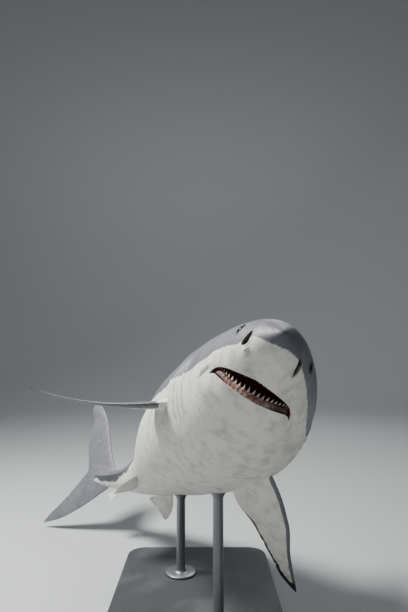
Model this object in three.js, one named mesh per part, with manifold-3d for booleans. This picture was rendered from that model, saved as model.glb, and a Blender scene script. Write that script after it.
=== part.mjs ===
// A great white shark at life size, banking as it swims, held up by a plain two-rod stand.
// Millimetres, +Z up. The origin is the middle of the stand's underside, and the head points towards -Y.
//
// The body is first laid out straight: x runs back from the tip of the snout, y to the shark's right and z
// to its back, all in percent of its length. A bent spine then carries every point to its place in the pose.
import * as THREE from 'three';
import { mergeVertices } from 'three/addons/utils/BufferGeometryUtils.js';
import Module from 'manifold-3d';

// ---- driving dimensions -------------------------------------------------------------------------------

const LENGTH = 4300;                      // snout to the tip of the upper tail lobe
const PERCENT = LENGTH / 100;
const GAP = 0.4;                          // left between pieces that touch, mm
const GAP_PERCENT = GAP / PERCENT;

// The pose: where the snout is, how the head is turned, and how the spine bends on its way back.
const SNOUT_TIP = new THREE.Vector3(375, -1678, 1848);
const HEADING = 5.6;                      // degrees from -Y towards +X
const NOSE_UP = 23.1;
const BANK = 32.5;                        // right side up
const BENDS = [
  { from: 10, to: 42, right: 14.7, up: -4.3, bank: 0 },
  { from: 34, to: 66, right: -4.5, up: -14, bank: 0 },
  { from: 56, to: 84, right: 26.9, up: 0.8, bank: 0 },
  { from: 76, to: 94, right: 22.7, up: 14.6, bank: 0 },
  { from: 20, to: 75, right: 0, up: 0, bank: -8.5 },
];

// The trunk's half sizes at each station, percent.
const BODY = {
  top: [[0, 1], [2, 2.2], [5, 3.7], [8, 4.85], [12, 6.15], [18, 7.4], [25, 8.4], [35, 9.25], [45, 8.9],
    [55, 7.55], [65, 5.5], [74, 3.45], [80, 2.2], [84, 1.75], [88, 1.5]],
  bottom: [[0, 0.8], [2, 1.8], [5, 3], [8, 4.25], [12, 6.15], [18, 7.95], [25, 9.05], [35, 9.65], [45, 9.45],
    [55, 7.9], [65, 5.4], [74, 3.25], [80, 2], [84, 1.65], [88, 1.4]],
  width: [[0, 1], [2, 2.3], [5, 3.9], [8, 5.15], [12, 6.6], [18, 8.35], [25, 9.6], [35, 10.1], [45, 9.4],
    [55, 7.55], [65, 5.25], [74, 3.05], [80, 1.8], [84, 1.3], [88, 0.9]],
};
const NOSE_ROUNDING = 2.6;                // how far back the snout's round tip reaches
const ROUNDNESS = 0.93;                   // 1 is an ellipse, less is squarer
const KEEL = [[70, 0], [76, 0.6], [81, 1.2], [84, 1.15], [87, 0.5], [88.5, 0.1]];
const KEEL_HALF_HEIGHT = 0.45;
const COLUMNS = 30;                       // facets round the body

// Where the body is divided.
const CUTS = { neck: 14, shoulder: 26.5, back: 42, loin: 58, stalk: 74, end: 88 };

// The mouth: an arc of upper lip, and a lower jaw that hangs a little open from its corners.
const MOUTH = {
  upperFront: 5.55, lowerFront: 6.9, corner: 10.3, halfWidth: 4.85, jawHalfWidth: 4.75,
  drop: 1.05, cornerHeight: -3.1, bulgeEnd: 14,
};
const PALATE = [[5.5, -2.35], [6.5, -1.7], [8, -1.4], [10.3, -2.2]];
const TOOTH = { upper: 7, lower: 6, radius: 0.22, height: 0.58 };

const EYE = { x: 5.5, z: 0.9, radius: 0.62, depth: 0.42 };
const NOSTRIL = { x: 3.1, z: -0.75, length: 0.62, width: 0.2, depth: 0.5, slant: 48 };
const GILLS = { first: 18, last: 24.8, count: 5, top: 8, bottom: -52, halfWidth: 0.16, depth: 0.9, lean: 1.1 };

// Upright fins: how far back the leading and trailing edges are at each height.
const CAUDAL = {
  lead: [[-13.8, 96.3], [-11.7, 93], [-7.8, 89.2], [-3.8, 85.5], [-1.3, 82.9], [0, 82.5], [1.5, 82.8],
    [4.4, 85.3], [9.1, 89.7], [13.7, 94.5], [16.2, 98.7]],
  trail: [[-13.8, 96.6], [-11.6, 95.9], [-9.1, 94.7], [-4.6, 93], [-1, 91.8], [0, 91.5], [1, 91.9],
    [5.1, 94.8], [10.7, 96.9], [12.2, 97.5], [12.8, 98.5], [13.8, 99.4], [15.9, 99.2], [16.2, 98.9]],
  thickness: 0.09,
};
const DORSAL = {
  lead: [[7.4, 34.2], [9.3, 35.2], [12, 37.3], [15, 39.7], [18, 42.1], [19.5, 43.6], [20, 44.6]],
  trail: [[7.4, 43.6], [9.2, 44.2], [9.8, 46.4], [10.3, 46.3], [11, 45.3], [13, 44.5], [16, 44.4],
    [18.5, 45], [19.5, 45.2], [20, 44.8]],
  thickness: 0.12,
};
const SECOND_DORSAL = {
  lead: [[2, 74], [3.5, 74.6], [4.8, 75.7], [5.5, 76.8]],
  trail: [[2, 76.4], [3.4, 76.8], [3.8, 78.2], [4.2, 77.9], [5, 77.1], [5.5, 76.95]],
  thickness: 0.14,
};
const ANAL = {
  lead: [[-4.8, 81.2], [-4.2, 80.2], [-3, 79], [-1.4, 78.4]],
  trail: [[-4.8, 81.35], [-4.3, 81.5], [-3.5, 82.4], [-3.1, 82.6], [-2.7, 81.2], [-1.4, 80.8]],
  thickness: 0.14,
};

// Paired fins: a root, a span that droops and sweeps, and edges at each fraction of the span.
const PECTORAL = {
  lead: [[0, -3.9], [0.15, -4.05], [0.35, -3.2], [0.6, -0.3], [0.8, 1.9], [0.93, 3.5], [1, 4.55]],
  trail: [[0, 3.5], [0.1, 4.4], [0.2, 4.65], [0.4, 3.4], [0.65, 3.75], [0.85, 4.7], [1, 4.75]],
  thickness: 0.115,
};
const PELVIC = {
  lead: [[0, -2.5], [0.5, -1.5], [0.85, 0.1], [1, 1.2]],
  trail: [[0, 2.4], [0.2, 2.8], [0.36, 4.9], [0.5, 4.3], [0.75, 2.8], [1, 1.5]],
  thickness: 0.11,
};
const PAIRED_FINS = {
  pectoral_fin_right: { shape: PECTORAL, side: 1, root: [27.4, 7.2, -3.3], length: 20.2,
    droop: 39.1, sweep: 12.1, pitch: -10.6, curl: 5.5 },
  pectoral_fin_left: { shape: PECTORAL, side: -1, root: [27.4, -5.55, -5.55], length: 21.5,
    droop: 35.4, sweep: 14, pitch: 21.7, curl: 5.4 },
  pelvic_fin_right: { shape: PELVIC, side: 1, root: [63.5, 2.6, -4.3], length: 6,
    droop: 44, sweep: 26, pitch: 10, curl: 0 },
  pelvic_fin_left: { shape: PELVIC, side: -1, root: [63.5, -2.6, -4.3], length: 6,
    droop: 44, sweep: 26, pitch: 10, curl: 0 },
};

// The stand: a flat base with rounded corners, and two rods with a foot and a cup each.
const BASE = { width: 1150, length: 1650, height: 60, corner: 140, bevel: 8 };
const ROD = { radius: 34, footRadius: 115, footHeight: 16, fillet: 26, cupRadius: 62, cupHeight: 70, sides: 20 };
const ROD_STATIONS = { stand_rod_front: 34, stand_rod_rear: 52 };

const COLOURS = {
  back: [0x7b7f88, 0.5], belly: [0xe6e7e3, 0.5], eye: [0x08080a, 0.1], stand: [0x35383c, 0.55], rod: [0xb9bcc0, 0.3],
};

// ---- curves and the spine -----------------------------------------------------------------------------

const radians = THREE.MathUtils.degToRad;
const { clamp, smoothstep } = THREE.MathUtils;

// A smooth curve through points that never overshoots between them (a monotone cubic).
function profile(points) {
  const xs = points.map((p) => p[0]);
  const ys = points.map((p) => p[1]);
  const last = xs.length - 1;
  const steps = xs.slice(1).map((x, i) => x - xs[i]);
  const slopes = steps.map((step, i) => (ys[i + 1] - ys[i]) / step);
  const tangents = ys.map((_, i) => {
    if (i === 0) return slopes[0];
    if (i === last) return slopes[last - 1];
    if (slopes[i - 1] * slopes[i] <= 0) return 0;
    const before = 2 * steps[i] + steps[i - 1];
    const after = steps[i] + 2 * steps[i - 1];
    return (before + after) / (before / slopes[i - 1] + after / slopes[i]);
  });
  return (x) => {
    let i = 0;
    while (i < last - 1 && x >= xs[i + 1]) i += 1;
    const t = clamp((x - xs[i]) / steps[i], 0, 1);
    const u = 1 - t;
    return (1 + 2 * t) * u * u * ys[i] + t * u * u * steps[i] * tangents[i]
      + t * t * (3 - 2 * t) * ys[i + 1] - t * t * u * steps[i] * tangents[i + 1];
  };
}

// Where the spine is at each station, and which way is back, right and up there.
function makeSpine() {
  const STEP = 0.25;
  const COUNT = 420;
  const turn = new THREE.Matrix4().makeRotationZ(radians(HEADING))
    .multiply(new THREE.Matrix4().makeRotationX(radians(-NOSE_UP)))
    .multiply(new THREE.Matrix4().makeRotationY(radians(BANK)));
  const stations = [];
  const place = SNOUT_TIP.clone();
  for (let i = 0; i <= COUNT; i += 1) {
    const x = i * STEP;
    let yaw = 0;
    let pitch = 0;
    let roll = 0;
    for (const bend of BENDS) {
      const share = radians(smoothstep(x, bend.from, bend.to));
      yaw += bend.right * share;
      pitch += bend.up * share;
      roll += bend.bank * share;
    }
    // In the head's own axes: x back, y right, z up. The head looks along -Y with its right towards -X.
    const back = new THREE.Vector3(Math.cos(yaw) * Math.cos(pitch), Math.sin(yaw) * Math.cos(pitch), Math.sin(pitch));
    const level = new THREE.Vector3(-Math.sin(yaw), Math.cos(yaw), 0);
    const upright = new THREE.Vector3().crossVectors(back, level);
    const right = level.clone().multiplyScalar(Math.cos(roll)).addScaledVector(upright, Math.sin(roll));
    const up = upright.clone().multiplyScalar(Math.cos(roll)).addScaledVector(level, -Math.sin(roll));
    const axes = [back, right, up].map((v) => new THREE.Vector3(-v.y, v.x, v.z).applyMatrix4(turn));
    if (i > 0) {
      const middle = axes[0].clone().add(stations[i - 1].back).multiplyScalar(0.5 * STEP * PERCENT);
      place.add(middle);
    }
    stations.push({ place: place.clone(), back: axes[0], right: axes[1], up: axes[2] });
  }
  return (x) => {
    const at = clamp(x / STEP, 0, COUNT - 1e-6);
    const i = Math.floor(at);
    const mix = (key) => stations[i][key].clone().lerp(stations[i + 1][key], at - i);
    return { place: mix('place'), back: mix('back'), right: mix('right'), up: mix('up') };
  };
}

const spine = makeSpine();

// Carries a point of the straight shark, in percent, to its place in the pose.
function pose([x, y, z]) {
  const at = spine(Math.max(x, 0));
  return at.place
    .addScaledVector(at.back, Math.min(x, 0) * PERCENT)
    .addScaledVector(at.right, y * PERCENT)
    .addScaledVector(at.up, z * PERCENT);
}

// ---- solids -------------------------------------------------------------------------------------------

const wasm = await Module();
wasm.setup();

// A closed solid from rows of points, each row a ring; a row of one point is a pole, others get flat caps.
function loft(rows) {
  const points = [];
  const faces = [];
  const rings = rows.map((row) => {
    const first = points.length;
    points.push(...row);
    return { first, size: row.length };
  });
  const at = (ring, i) => ring.first + (i % ring.size);
  for (let r = 0; r + 1 < rings.length; r += 1) {
    const [a, b] = [rings[r], rings[r + 1]];
    for (let i = 0; i < Math.max(a.size, b.size); i += 1) {
      if (a.size > 1) faces.push([at(a, i), at(a, i + 1), at(b, b.size > 1 ? i + 1 : 0)]);
      if (b.size > 1) faces.push([at(a, a.size > 1 ? i : 0), at(b, i + 1), at(b, i)]);
    }
  }
  for (const [index, flip] of [[0, true], [rings.length - 1, false]]) {
    const ring = rings[index];
    if (ring.size === 1) continue;
    const middle = new THREE.Vector3();
    for (const p of rows[index]) middle.addScaledVector(p, 1 / ring.size);
    points.push(middle);
    for (let i = 0; i < ring.size; i += 1) {
      const edge = [at(ring, i), at(ring, i + 1)];
      faces.push([points.length - 1, ...(flip ? edge.reverse() : edge)]);
    }
  }
  let volume = 0;
  for (const [a, b, c] of faces) {
    volume += points[a].dot(new THREE.Vector3().crossVectors(points[b], points[c]));
  }
  const geometry = new THREE.BufferGeometry().setFromPoints(points);
  geometry.setIndex(faces.flatMap((face) => (volume < 0 ? [face[0], face[2], face[1]] : face)));
  return solid(geometry);
}

function solid(geometry) {
  const bare = geometry.clone();
  bare.deleteAttribute('normal');
  bare.deleteAttribute('uv');
  const merged = mergeVertices(bare, 1e-4);
  return new wasm.Manifold(new wasm.Mesh({
    numProp: 3,
    vertProperties: new Float32Array(merged.attributes.position.array),
    triVerts: new Uint32Array(merged.index.array),
  }));
}

function node(name, shape, colour) {
  const mesh = shape.getMesh();
  const geometry = new THREE.BufferGeometry();
  geometry.setAttribute('position', new THREE.BufferAttribute(mesh.vertProperties, 3));
  geometry.setIndex(new THREE.BufferAttribute(mesh.triVerts, 1));
  const [color, roughness] = COLOURS[colour];
  const material = new THREE.MeshStandardMaterial({ name: colour, color, roughness, metalness: colour === 'rod' ? 0.9 : 0 });
  const made = new THREE.Mesh(geometry, material);
  made.name = name;
  return made;
}

const stretch = (from, to, count) => Array.from({ length: count + 1 }, (_, i) => from + ((to - from) * i) / count);

// ---- the body -----------------------------------------------------------------------------------------

const half = Object.fromEntries(Object.entries(BODY).map(([key, points]) => [key, profile(points)]));
const keel = profile(KEEL);

// The straight body's skin at a station and an angle: 0 is its right side and 90 its back.
function skin(x, angle, swell = 0) {
  const rounding = Math.sqrt(Math.max(1 - (1 - clamp(x / NOSE_ROUNDING, 0, 1)) ** 2, 0));
  const [c, s] = [Math.cos(angle), Math.sin(angle)];
  const height = (s >= 0 ? half.top(x) : half.bottom(x)) * rounding + swell;
  const y = Math.sign(c) * Math.abs(c) ** ROUNDNESS * (half.width(x) * rounding + swell);
  const z = Math.sign(s) * Math.abs(s) ** ROUNDNESS * height;
  const ridge = x > KEEL[0][0] ? keel(x) * Math.exp(-((z / KEEL_HALF_HEIGHT) ** 2)) : 0;
  return [x, y + Math.sign(c) * ridge, z];
}

// Facets gather at the sides of the tail stalk, where the keels are.
function ring(x, swell) {
  return Array.from({ length: COLUMNS }, (_, i) => {
    const even = (2 * Math.PI * i) / COLUMNS;
    const gather = 0.42 * smoothstep(x, 68, 78);
    return pose(skin(x, even - (gather * Math.sin(2 * even)) / 2 - (gather * Math.sin(4 * even)) / 8, swell));
  });
}

const HEAD_ROWS = [0.12, 0.45, 1, 1.7, 2.6, 3.8, 5, 6.2, 7.4, 8.6, 9.8, 11, 12.4, CUTS.neck];
const BODY_ROWS = [
  ...HEAD_ROWS, ...stretch(CUTS.neck, CUTS.shoulder, 5).slice(1), ...stretch(CUTS.shoulder, CUTS.back, 6).slice(1),
  ...stretch(CUTS.back, CUTS.loin, 5).slice(1), ...stretch(CUTS.loin, CUTS.stalk, 6).slice(1),
  ...stretch(CUTS.stalk, CUTS.end, 9).slice(1),
];
const SNOUT = [0, 0, 0.1];

function bodySolid(swell) {
  const rows = BODY_ROWS.map((x) => ring(x, swell));
  return loft([[pose([-swell, 0, SNOUT[2]])], ...rows, [pose([CUTS.end + 0.6 + swell, 0, 0])]]);
}

// One length of the body, a hair short of each cut.
function segment(from, to) {
  const rows = BODY_ROWS.filter((x) => x > from && x < to);
  const first = from === 0 ? [pose(SNOUT)] : ring(from + GAP_PERCENT / 2, 0);
  const last = to === CUTS.end ? [ring(to, 0), [pose([to + 0.6, 0, 0])]] : [ring(to - GAP_PERCENT / 2, 0)];
  return loft([first, ...rows.map((x) => ring(x, 0)), ...last]);
}

// ---- the mouth ----------------------------------------------------------------------------------------

const palate = profile(PALATE);

// Half the width of an arc that is round in front and meets the corner of the mouth square on.
function arc(x, front, halfWidth) {
  const t = clamp((MOUTH.corner - x) / (MOUTH.corner - front), 0, 1);
  return halfWidth * Math.sqrt(1 - t * t);
}

// The height of the body's underside at a place across it.
function underside(x, y) {
  const c = clamp(Math.abs(y) / half.width(x), 0, 1) ** (1 / ROUNDNESS);
  return -half.bottom(x) * Math.sqrt(1 - c * c) ** ROUNDNESS;
}

function halfWidthAtCorner(x) {
  const s = clamp(-MOUTH.cornerHeight / half.bottom(x), 0, 1) ** (1 / ROUNDNESS);
  return half.width(x) * Math.sqrt(1 - s * s) ** ROUNDNESS;
}

// How far the open jaw hangs below the closed body: the rim hinges at the corner, the throat eases in behind.
function hang(x, across) {
  const rim = clamp((MOUTH.corner - x) / (MOUTH.corner - MOUTH.lowerFront), 0, 1);
  const throat = 1 - smoothstep(x, MOUTH.lowerFront, MOUTH.bulgeEnd);
  return MOUTH.drop * THREE.MathUtils.lerp(throat, rim, across * across);
}

function jawRing(x) {
  const POINTS = 8;
  const open = x < MOUTH.corner;
  const width = open ? arc(x, MOUTH.lowerFront, MOUTH.jawHalfWidth) : halfWidthAtCorner(x);
  const rows = [];
  for (let i = 0; i <= POINTS; i += 1) {
    const across = Math.cos((Math.PI * i) / POINTS);
    const z = underside(x, across * width) - hang(x, across);
    rows.push([x, across * width, z]);
  }
  const rim = Math.min(rows[0][2], MOUTH.cornerHeight - GAP_PERCENT);
  for (let i = 1; i < POINTS; i += 1) {
    const across = -Math.cos((Math.PI * i) / POINTS);
    rows.push([x, across * width, rim]);
  }
  rows[0][2] = rim;
  rows[POINTS][2] = rim;
  return rows.map(pose);
}

function jawRim(x, sideways) {
  const y = sideways * arc(x, MOUTH.lowerFront, MOUTH.jawHalfWidth);
  return [x, y, underside(x, y) - hang(x, 1)];
}

function lowerJaw() {
  const stations = [7.05, 7.4, 8, 8.8, 9.6, 10.25, 10.4, 11.2, 12.2, 13.1, CUTS.neck - GAP_PERCENT / 2];
  const front = MOUTH.lowerFront;
  return loft([[pose([front, 0, underside(front, 0) - MOUTH.drop + 0.2])], ...stations.map(jawRing)]);
}

// All that is taken out of the head for the mouth, and for the jaw behind its corners.
function mouthHollow() {
  const FLOOR = -14;
  const box = (x, width, top) => [[x, width, FLOOR], [x, width, top], [x, 0, top], [x, -width, top], [x, -width, FLOOR]]
    .map(pose);
  const open = [5.6, 5.8, 6.2, 6.9, 7.7, 8.6, 9.5, MOUTH.corner]
    .map((x) => box(x, arc(x, MOUTH.upperFront, MOUTH.halfWidth), palate(x)));
  const behind = [MOUTH.corner + 0.02, 12, CUTS.neck + 1].map((x) => box(x, 12, MOUTH.cornerHeight));
  return loft([...open, ...behind]);
}

// A tooth is a small spike, set on a rim and leaning into the mouth.
function tooth(at, tipOffset) {
  const foot = [[1, 0], [0, 1], [-1, 0], [0, -1]]
    .map(([a, b]) => pose([at[0] + a * TOOTH.radius, at[1] + b * TOOTH.radius, at[2]]));
  return loft([foot, [pose([at[0] + tipOffset[0], at[1], at[2] + tipOffset[1]])]]);
}

// Stations evenly spread along one side of a lip's arc.
function alongArc(front, count) {
  return Array.from({ length: count }, (_, i) => {
    const angle = (Math.PI / 2) * ((i + 0.35) / (count + 0.6));
    return front + (MOUTH.corner - front) * (1 - Math.cos(angle));
  });
}

function lowerTeeth(jaw) {
  let made = jaw;
  for (const side of [1, -1]) {
    for (const x of alongArc(MOUTH.lowerFront + 0.12, TOOTH.lower)) {
      const rim = jawRim(x, side * 0.9);
      made = made.add(tooth([rim[0] + 0.12, rim[1], rim[2] - 0.14], [0.1, TOOTH.height]));
    }
  }
  return made;
}

function upperTeeth(head) {
  let made = head;
  for (const side of [1, -1]) {
    for (const x of alongArc(MOUTH.upperFront + 0.1, TOOTH.upper)) {
      const y = side * arc(x, MOUTH.upperFront, MOUTH.halfWidth);
      const lip = underside(x, y);
      made = made.add(tooth([x, y, lip + 0.6], [0.12, -TOOTH.height]));
    }
  }
  return made;
}

// ---- small features of the head -----------------------------------------------------------------------

// A place on the skin at a height, with the direction straight out of it.
function onSkin(x, z, side) {
  const height = z >= 0 ? half.top(x) : half.bottom(x);
  const angle = Math.asin((Math.abs(z) / height) ** (1 / ROUNDNESS)) * Math.sign(z);
  const around = side > 0 ? angle : Math.PI - angle;
  const [p, ahead, beside] = [skin(x, around), skin(x + 0.2, around), skin(x, around + side * 0.02)].map(pose);
  const out = new THREE.Vector3().crossVectors(beside.sub(p), ahead.sub(p)).normalize();
  const centre = pose([x, 0, 0]);
  if (out.dot(p.clone().sub(centre)) < 0) out.negate();
  return { place: p, out, along: ahead.normalize() };
}

function ball(centre, radius) {
  const geometry = new THREE.SphereGeometry(radius, 14, 8);
  geometry.translate(centre.x, centre.y, centre.z);
  return solid(geometry);
}

function eyeCentre(side) {
  const { place, out } = onSkin(EYE.x, EYE.z, side);
  return place.addScaledVector(out, -EYE.depth * PERCENT);
}

function nostril(side) {
  const { place, out, along } = onSkin(NOSTRIL.x, NOSTRIL.z, side);
  const across = new THREE.Vector3().crossVectors(out, along).normalize();
  if (across.dot(spine(NOSTRIL.x).up) < 0) across.negate();
  const slant = radians(NOSTRIL.slant);
  const long = along.clone().multiplyScalar(-Math.cos(slant)).addScaledVector(across, Math.sin(slant));
  const wide = new THREE.Vector3().crossVectors(out, long).normalize();
  const geometry = new THREE.SphereGeometry(1, 8, 6);
  geometry.scale(NOSTRIL.length * PERCENT, NOSTRIL.width * PERCENT, NOSTRIL.depth * PERCENT);
  geometry.applyMatrix4(new THREE.Matrix4().makeBasis(long, wide, out).setPosition(place));
  return solid(geometry);
}

// ---- gills --------------------------------------------------------------------------------------------

// A slit is a thin curved blade that runs down the side, deepest in its middle.
function gillSlit(x, side) {
  const ROWS = 5;
  const rows = [];
  for (let i = 0; i <= ROWS; i += 1) {
    const t = i / ROWS;
    const angle = radians(THREE.MathUtils.lerp(GILLS.top, GILLS.bottom, t));
    const around = side > 0 ? angle : Math.PI - angle;
    const middle = x + GILLS.lean * (t - 0.3) ** 2 * 2;
    const spread = GILLS.halfWidth * Math.sqrt(Math.max(1 - (2 * t - 1) ** 2, 0.04));
    rows.push([
      pose(skin(middle - spread, around, GILLS.depth)), pose(skin(middle + spread, around, GILLS.depth)),
      pose(skin(middle, around, -GILLS.depth)),
    ]);
  }
  return loft(rows);
}

function gillRegion() {
  let made = segment(CUTS.neck, CUTS.shoulder);
  for (const side of [1, -1]) {
    for (const x of stretch(GILLS.first, GILLS.last, GILLS.count - 1)) {
      made = made.subtract(gillSlit(x, side));
    }
  }
  return made;
}

// ---- fins ---------------------------------------------------------------------------------------------

// Half the thickness of a fin at a fraction of its chord from the leading edge, for a thickness of 1.
function foil(t) {
  return 5 * (0.2969 * Math.sqrt(t) - 0.126 * t - 0.3516 * t ** 2 + 0.2843 * t ** 3 - 0.1015 * t ** 4);
}

const FOIL_STEPS = [0, 0.04, 0.15, 0.35, 0.62, 1];

// Points round a fin's section: chordwise place and thickness, out along one side and back along the other.
function section(lead, trail, thickness) {
  const chord = trail - lead;
  const side = FOIL_STEPS.map((t) => [lead + t * chord, Math.max(foil(t) * thickness * chord, t > 0 ? 0.025 : 0)]);
  return [...side, ...side.slice(1).reverse().map(([along, thick]) => [along, -thick])];
}

// An upright fin is a pile of level sections.
function uprightFin(shape, heights) {
  const lead = profile(shape.lead);
  const trail = profile(shape.trail);
  const tip = heights[heights.length - 1];
  const rows = heights.slice(0, -1).map((z) => section(lead(z), trail(z), shape.thickness)
    .map(([x, y]) => pose([x, y, z])));
  return loft([...rows, [pose([(lead(tip) + trail(tip)) / 2, 0, tip])]]);
}

// A paired fin springs from the side, droops, sweeps back and is twisted about its span.
function pairedFin({ shape, side, root, length, droop, sweep, pitch, curl }) {
  const [d, w, p] = [droop, sweep, pitch].map(radians);
  const span = new THREE.Vector3(Math.sin(w), side * Math.cos(w) * Math.cos(d), -Math.cos(w) * Math.sin(d));
  const level = new THREE.Vector3(1, 0, 0).addScaledVector(span, -span.x).normalize();
  const above = new THREE.Vector3().crossVectors(level, span).multiplyScalar(side);
  const chord = level.clone().multiplyScalar(Math.cos(p)).addScaledVector(above, -Math.sin(p));
  const over = new THREE.Vector3().crossVectors(chord, span);
  const lead = profile(shape.lead);
  const trail = profile(shape.trail);
  const at = (u, along, thick) => new THREE.Vector3(...root)
    .addScaledVector(span, u * length)
    .addScaledVector(chord, along)
    .addScaledVector(over, thick + side * curl * u * u);
  const rows = [0, 0.12, 0.24, 0.36, 0.48, 0.6, 0.71, 0.81, 0.9, 0.96].map((u) => {
    const thickness = shape.thickness * (1 - 0.35 * u);
    return section(lead(u), trail(u), thickness).map(([along, thick]) => pose(at(u, along, thick).toArray()));
  });
  const tip = at(1, (lead(1) + trail(1)) / 2, 0);
  return loft([...rows, [pose(tip.toArray())]]);
}

// ---- the stand ----------------------------------------------------------------------------------------

function standBase() {
  const [w, l, r] = [BASE.width / 2 - BASE.bevel, BASE.length / 2 - BASE.bevel, BASE.corner];
  const outline = new THREE.Shape();
  outline.moveTo(-w + r, -l);
  for (const [sx, sy, start] of [[1, -1, -90], [1, 1, 0], [-1, 1, 90], [-1, -1, 180]]) {
    outline.absarc(sx * (w - r), sy * (l - r), r, radians(start), radians(start + 90), false);
  }
  const geometry = new THREE.ExtrudeGeometry(outline, {
    depth: BASE.height - 2 * BASE.bevel, bevelEnabled: true, bevelSize: BASE.bevel,
    bevelThickness: BASE.bevel, bevelSegments: 1, curveSegments: 5,
  });
  geometry.translate(0, 0, BASE.bevel);
  return solid(geometry);
}

// A rod stands on the base under a station of the body and is cut to the belly it carries.
function standRod(station, body) {
  const at = pose([station, 0, 0]);
  const belly = Math.min(...ring(station, 0).map((p) => p.z));
  const foot = BASE.height + GAP;
  const { radius, footRadius, footHeight, fillet, cupRadius, cupHeight, sides } = ROD;
  const neck = belly - cupHeight;
  const outline = [
    [0, foot], [footRadius, foot], [footRadius, foot + footHeight], [radius + fillet, foot + footHeight],
    [radius + fillet * 0.3, foot + footHeight + fillet * 0.3], [radius, foot + footHeight + fillet],
    [radius, neck], [radius + 4, neck + 8], [cupRadius, neck + cupHeight * 0.6], [cupRadius, at.z], [0, at.z],
  ].map(([r, z]) => new THREE.Vector2(r, z));
  const geometry = new THREE.LatheGeometry(outline, sides);
  geometry.rotateX(Math.PI / 2);
  geometry.translate(at.x, at.y, 0);
  return solid(geometry).subtract(body);
}

// ---- the shark ----------------------------------------------------------------------------------------

const shark = new THREE.Group();
const room = bodySolid(GAP_PERCENT);

let head = segment(0, CUTS.neck).subtract(mouthHollow());
head = upperTeeth(head);
for (const [side, name] of [[1, 'eye_right'], [-1, 'eye_left']]) {
  const centre = eyeCentre(side);
  head = head.subtract(ball(centre, EYE.radius * PERCENT + GAP)).subtract(nostril(side));
  shark.add(node(name, ball(centre, EYE.radius * PERCENT), 'eye'));
}
shark.add(node('head', head, 'back'));
shark.add(node('lower_jaw', lowerTeeth(lowerJaw()), 'belly'));
shark.add(node('gill_region', gillRegion(), 'back'));
shark.add(node('trunk_front', segment(CUTS.shoulder, CUTS.back), 'back'));
shark.add(node('trunk_middle', segment(CUTS.back, CUTS.loin), 'back'));
shark.add(node('trunk_rear', segment(CUTS.loin, CUTS.stalk), 'back'));
shark.add(node('tail_stalk', segment(CUTS.stalk, CUTS.end), 'back'));

const SEAM = GAP_PERCENT / 2;
const uprights = {
  caudal_fin_upper: [CAUDAL, [SEAM, 1.2, 2.6, 4.4, 6.6, 9, 11, 12.3, 13, 13.8, 15, 15.8, 16.2]],
  caudal_fin_lower: [CAUDAL, [-SEAM, -1.2, -2.6, -4.4, -6.4, -8.6, -10.6, -12.2, -13.2, -13.8]],
  first_dorsal_fin: [DORSAL, [7.4, 9.1, 9.8, 10.3, 11, 12.5, 14.5, 16.5, 18.2, 19.3, 19.8, 20]],
  second_dorsal_fin: [SECOND_DORSAL, [2, 3.3, 3.8, 4.2, 4.8, 5.3, 5.5]],
  anal_fin: [ANAL, [-1.4, -2.7, -3.1, -3.5, -4.1, -4.6, -4.8]],
};
for (const [name, [shape, heights]] of Object.entries(uprights)) {
  shark.add(node(name, uprightFin(shape, heights).subtract(room), 'back'));
}
for (const [name, fin] of Object.entries(PAIRED_FINS)) {
  shark.add(node(name, pairedFin(fin).subtract(room), 'back'));
}

shark.add(node('stand_base', standBase(), 'stand'));
for (const [name, station] of Object.entries(ROD_STATIONS)) {
  shark.add(node(name, standRod(station, room), 'rod'));
}

export default shark;
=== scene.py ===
"""A great white shark at life size, banking as it swims, on a plain two-rod stand.

The shark is laid out straight first, in percent of its length: x runs back from the tip of the snout, y to
its right and z to its back. One skin is joined and carved there, and a bent spine then carries every point
of it to its place in the pose, in metres.
"""
import logging
import math
from dataclasses import dataclass, field
from enum import Enum, IntEnum
from typing import Callable, Optional, Sequence, Union

import bpy
import numpy as np
from mathutils import Matrix, Vector, kdtree


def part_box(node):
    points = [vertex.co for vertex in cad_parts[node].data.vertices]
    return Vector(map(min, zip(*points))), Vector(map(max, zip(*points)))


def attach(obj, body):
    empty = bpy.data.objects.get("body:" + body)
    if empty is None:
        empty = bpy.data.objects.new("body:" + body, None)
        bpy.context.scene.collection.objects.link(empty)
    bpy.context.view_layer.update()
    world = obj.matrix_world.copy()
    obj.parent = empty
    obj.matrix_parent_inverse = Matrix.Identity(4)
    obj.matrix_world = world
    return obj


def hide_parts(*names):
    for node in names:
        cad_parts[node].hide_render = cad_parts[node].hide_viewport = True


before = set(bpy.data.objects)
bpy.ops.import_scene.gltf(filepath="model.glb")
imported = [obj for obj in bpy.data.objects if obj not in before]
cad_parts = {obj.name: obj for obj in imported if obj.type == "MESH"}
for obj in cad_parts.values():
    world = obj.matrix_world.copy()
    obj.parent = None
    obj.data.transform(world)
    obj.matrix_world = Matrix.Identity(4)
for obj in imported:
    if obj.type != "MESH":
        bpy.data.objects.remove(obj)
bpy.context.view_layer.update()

LOG = logging.getLogger("shark")

LENGTH = 4.3
PERCENT = LENGTH / 100
BODY = "root"
RIGHT, LEFT = 1, -1

Array = np.ndarray
Pair = tuple[float, float]
Triple = tuple[float, float, float]
Piece = bpy.types.Object
Material = bpy.types.Material
Socket = bpy.types.NodeSocket
Given = Union[float, Sequence[float], Socket]


# ---- small numeric helpers ----


def smoothstep(value: Array, low: float, high: float) -> Array:
    """Eases from 0 at low to 1 at high."""
    t = np.clip((value - low) / (high - low), 0, 1)
    return t * t * (3 - 2 * t)


def bump(distance: Array, width: float) -> Array:
    """A rounded hill, 1 at no distance and almost nothing beyond two widths."""
    return np.exp(-((distance / width) ** 2))


def unit(vectors: Array) -> Array:
    """Vectors scaled to a length of 1."""
    return vectors / np.maximum(np.linalg.norm(vectors, axis=-1, keepdims=True), 1e-12)


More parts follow.
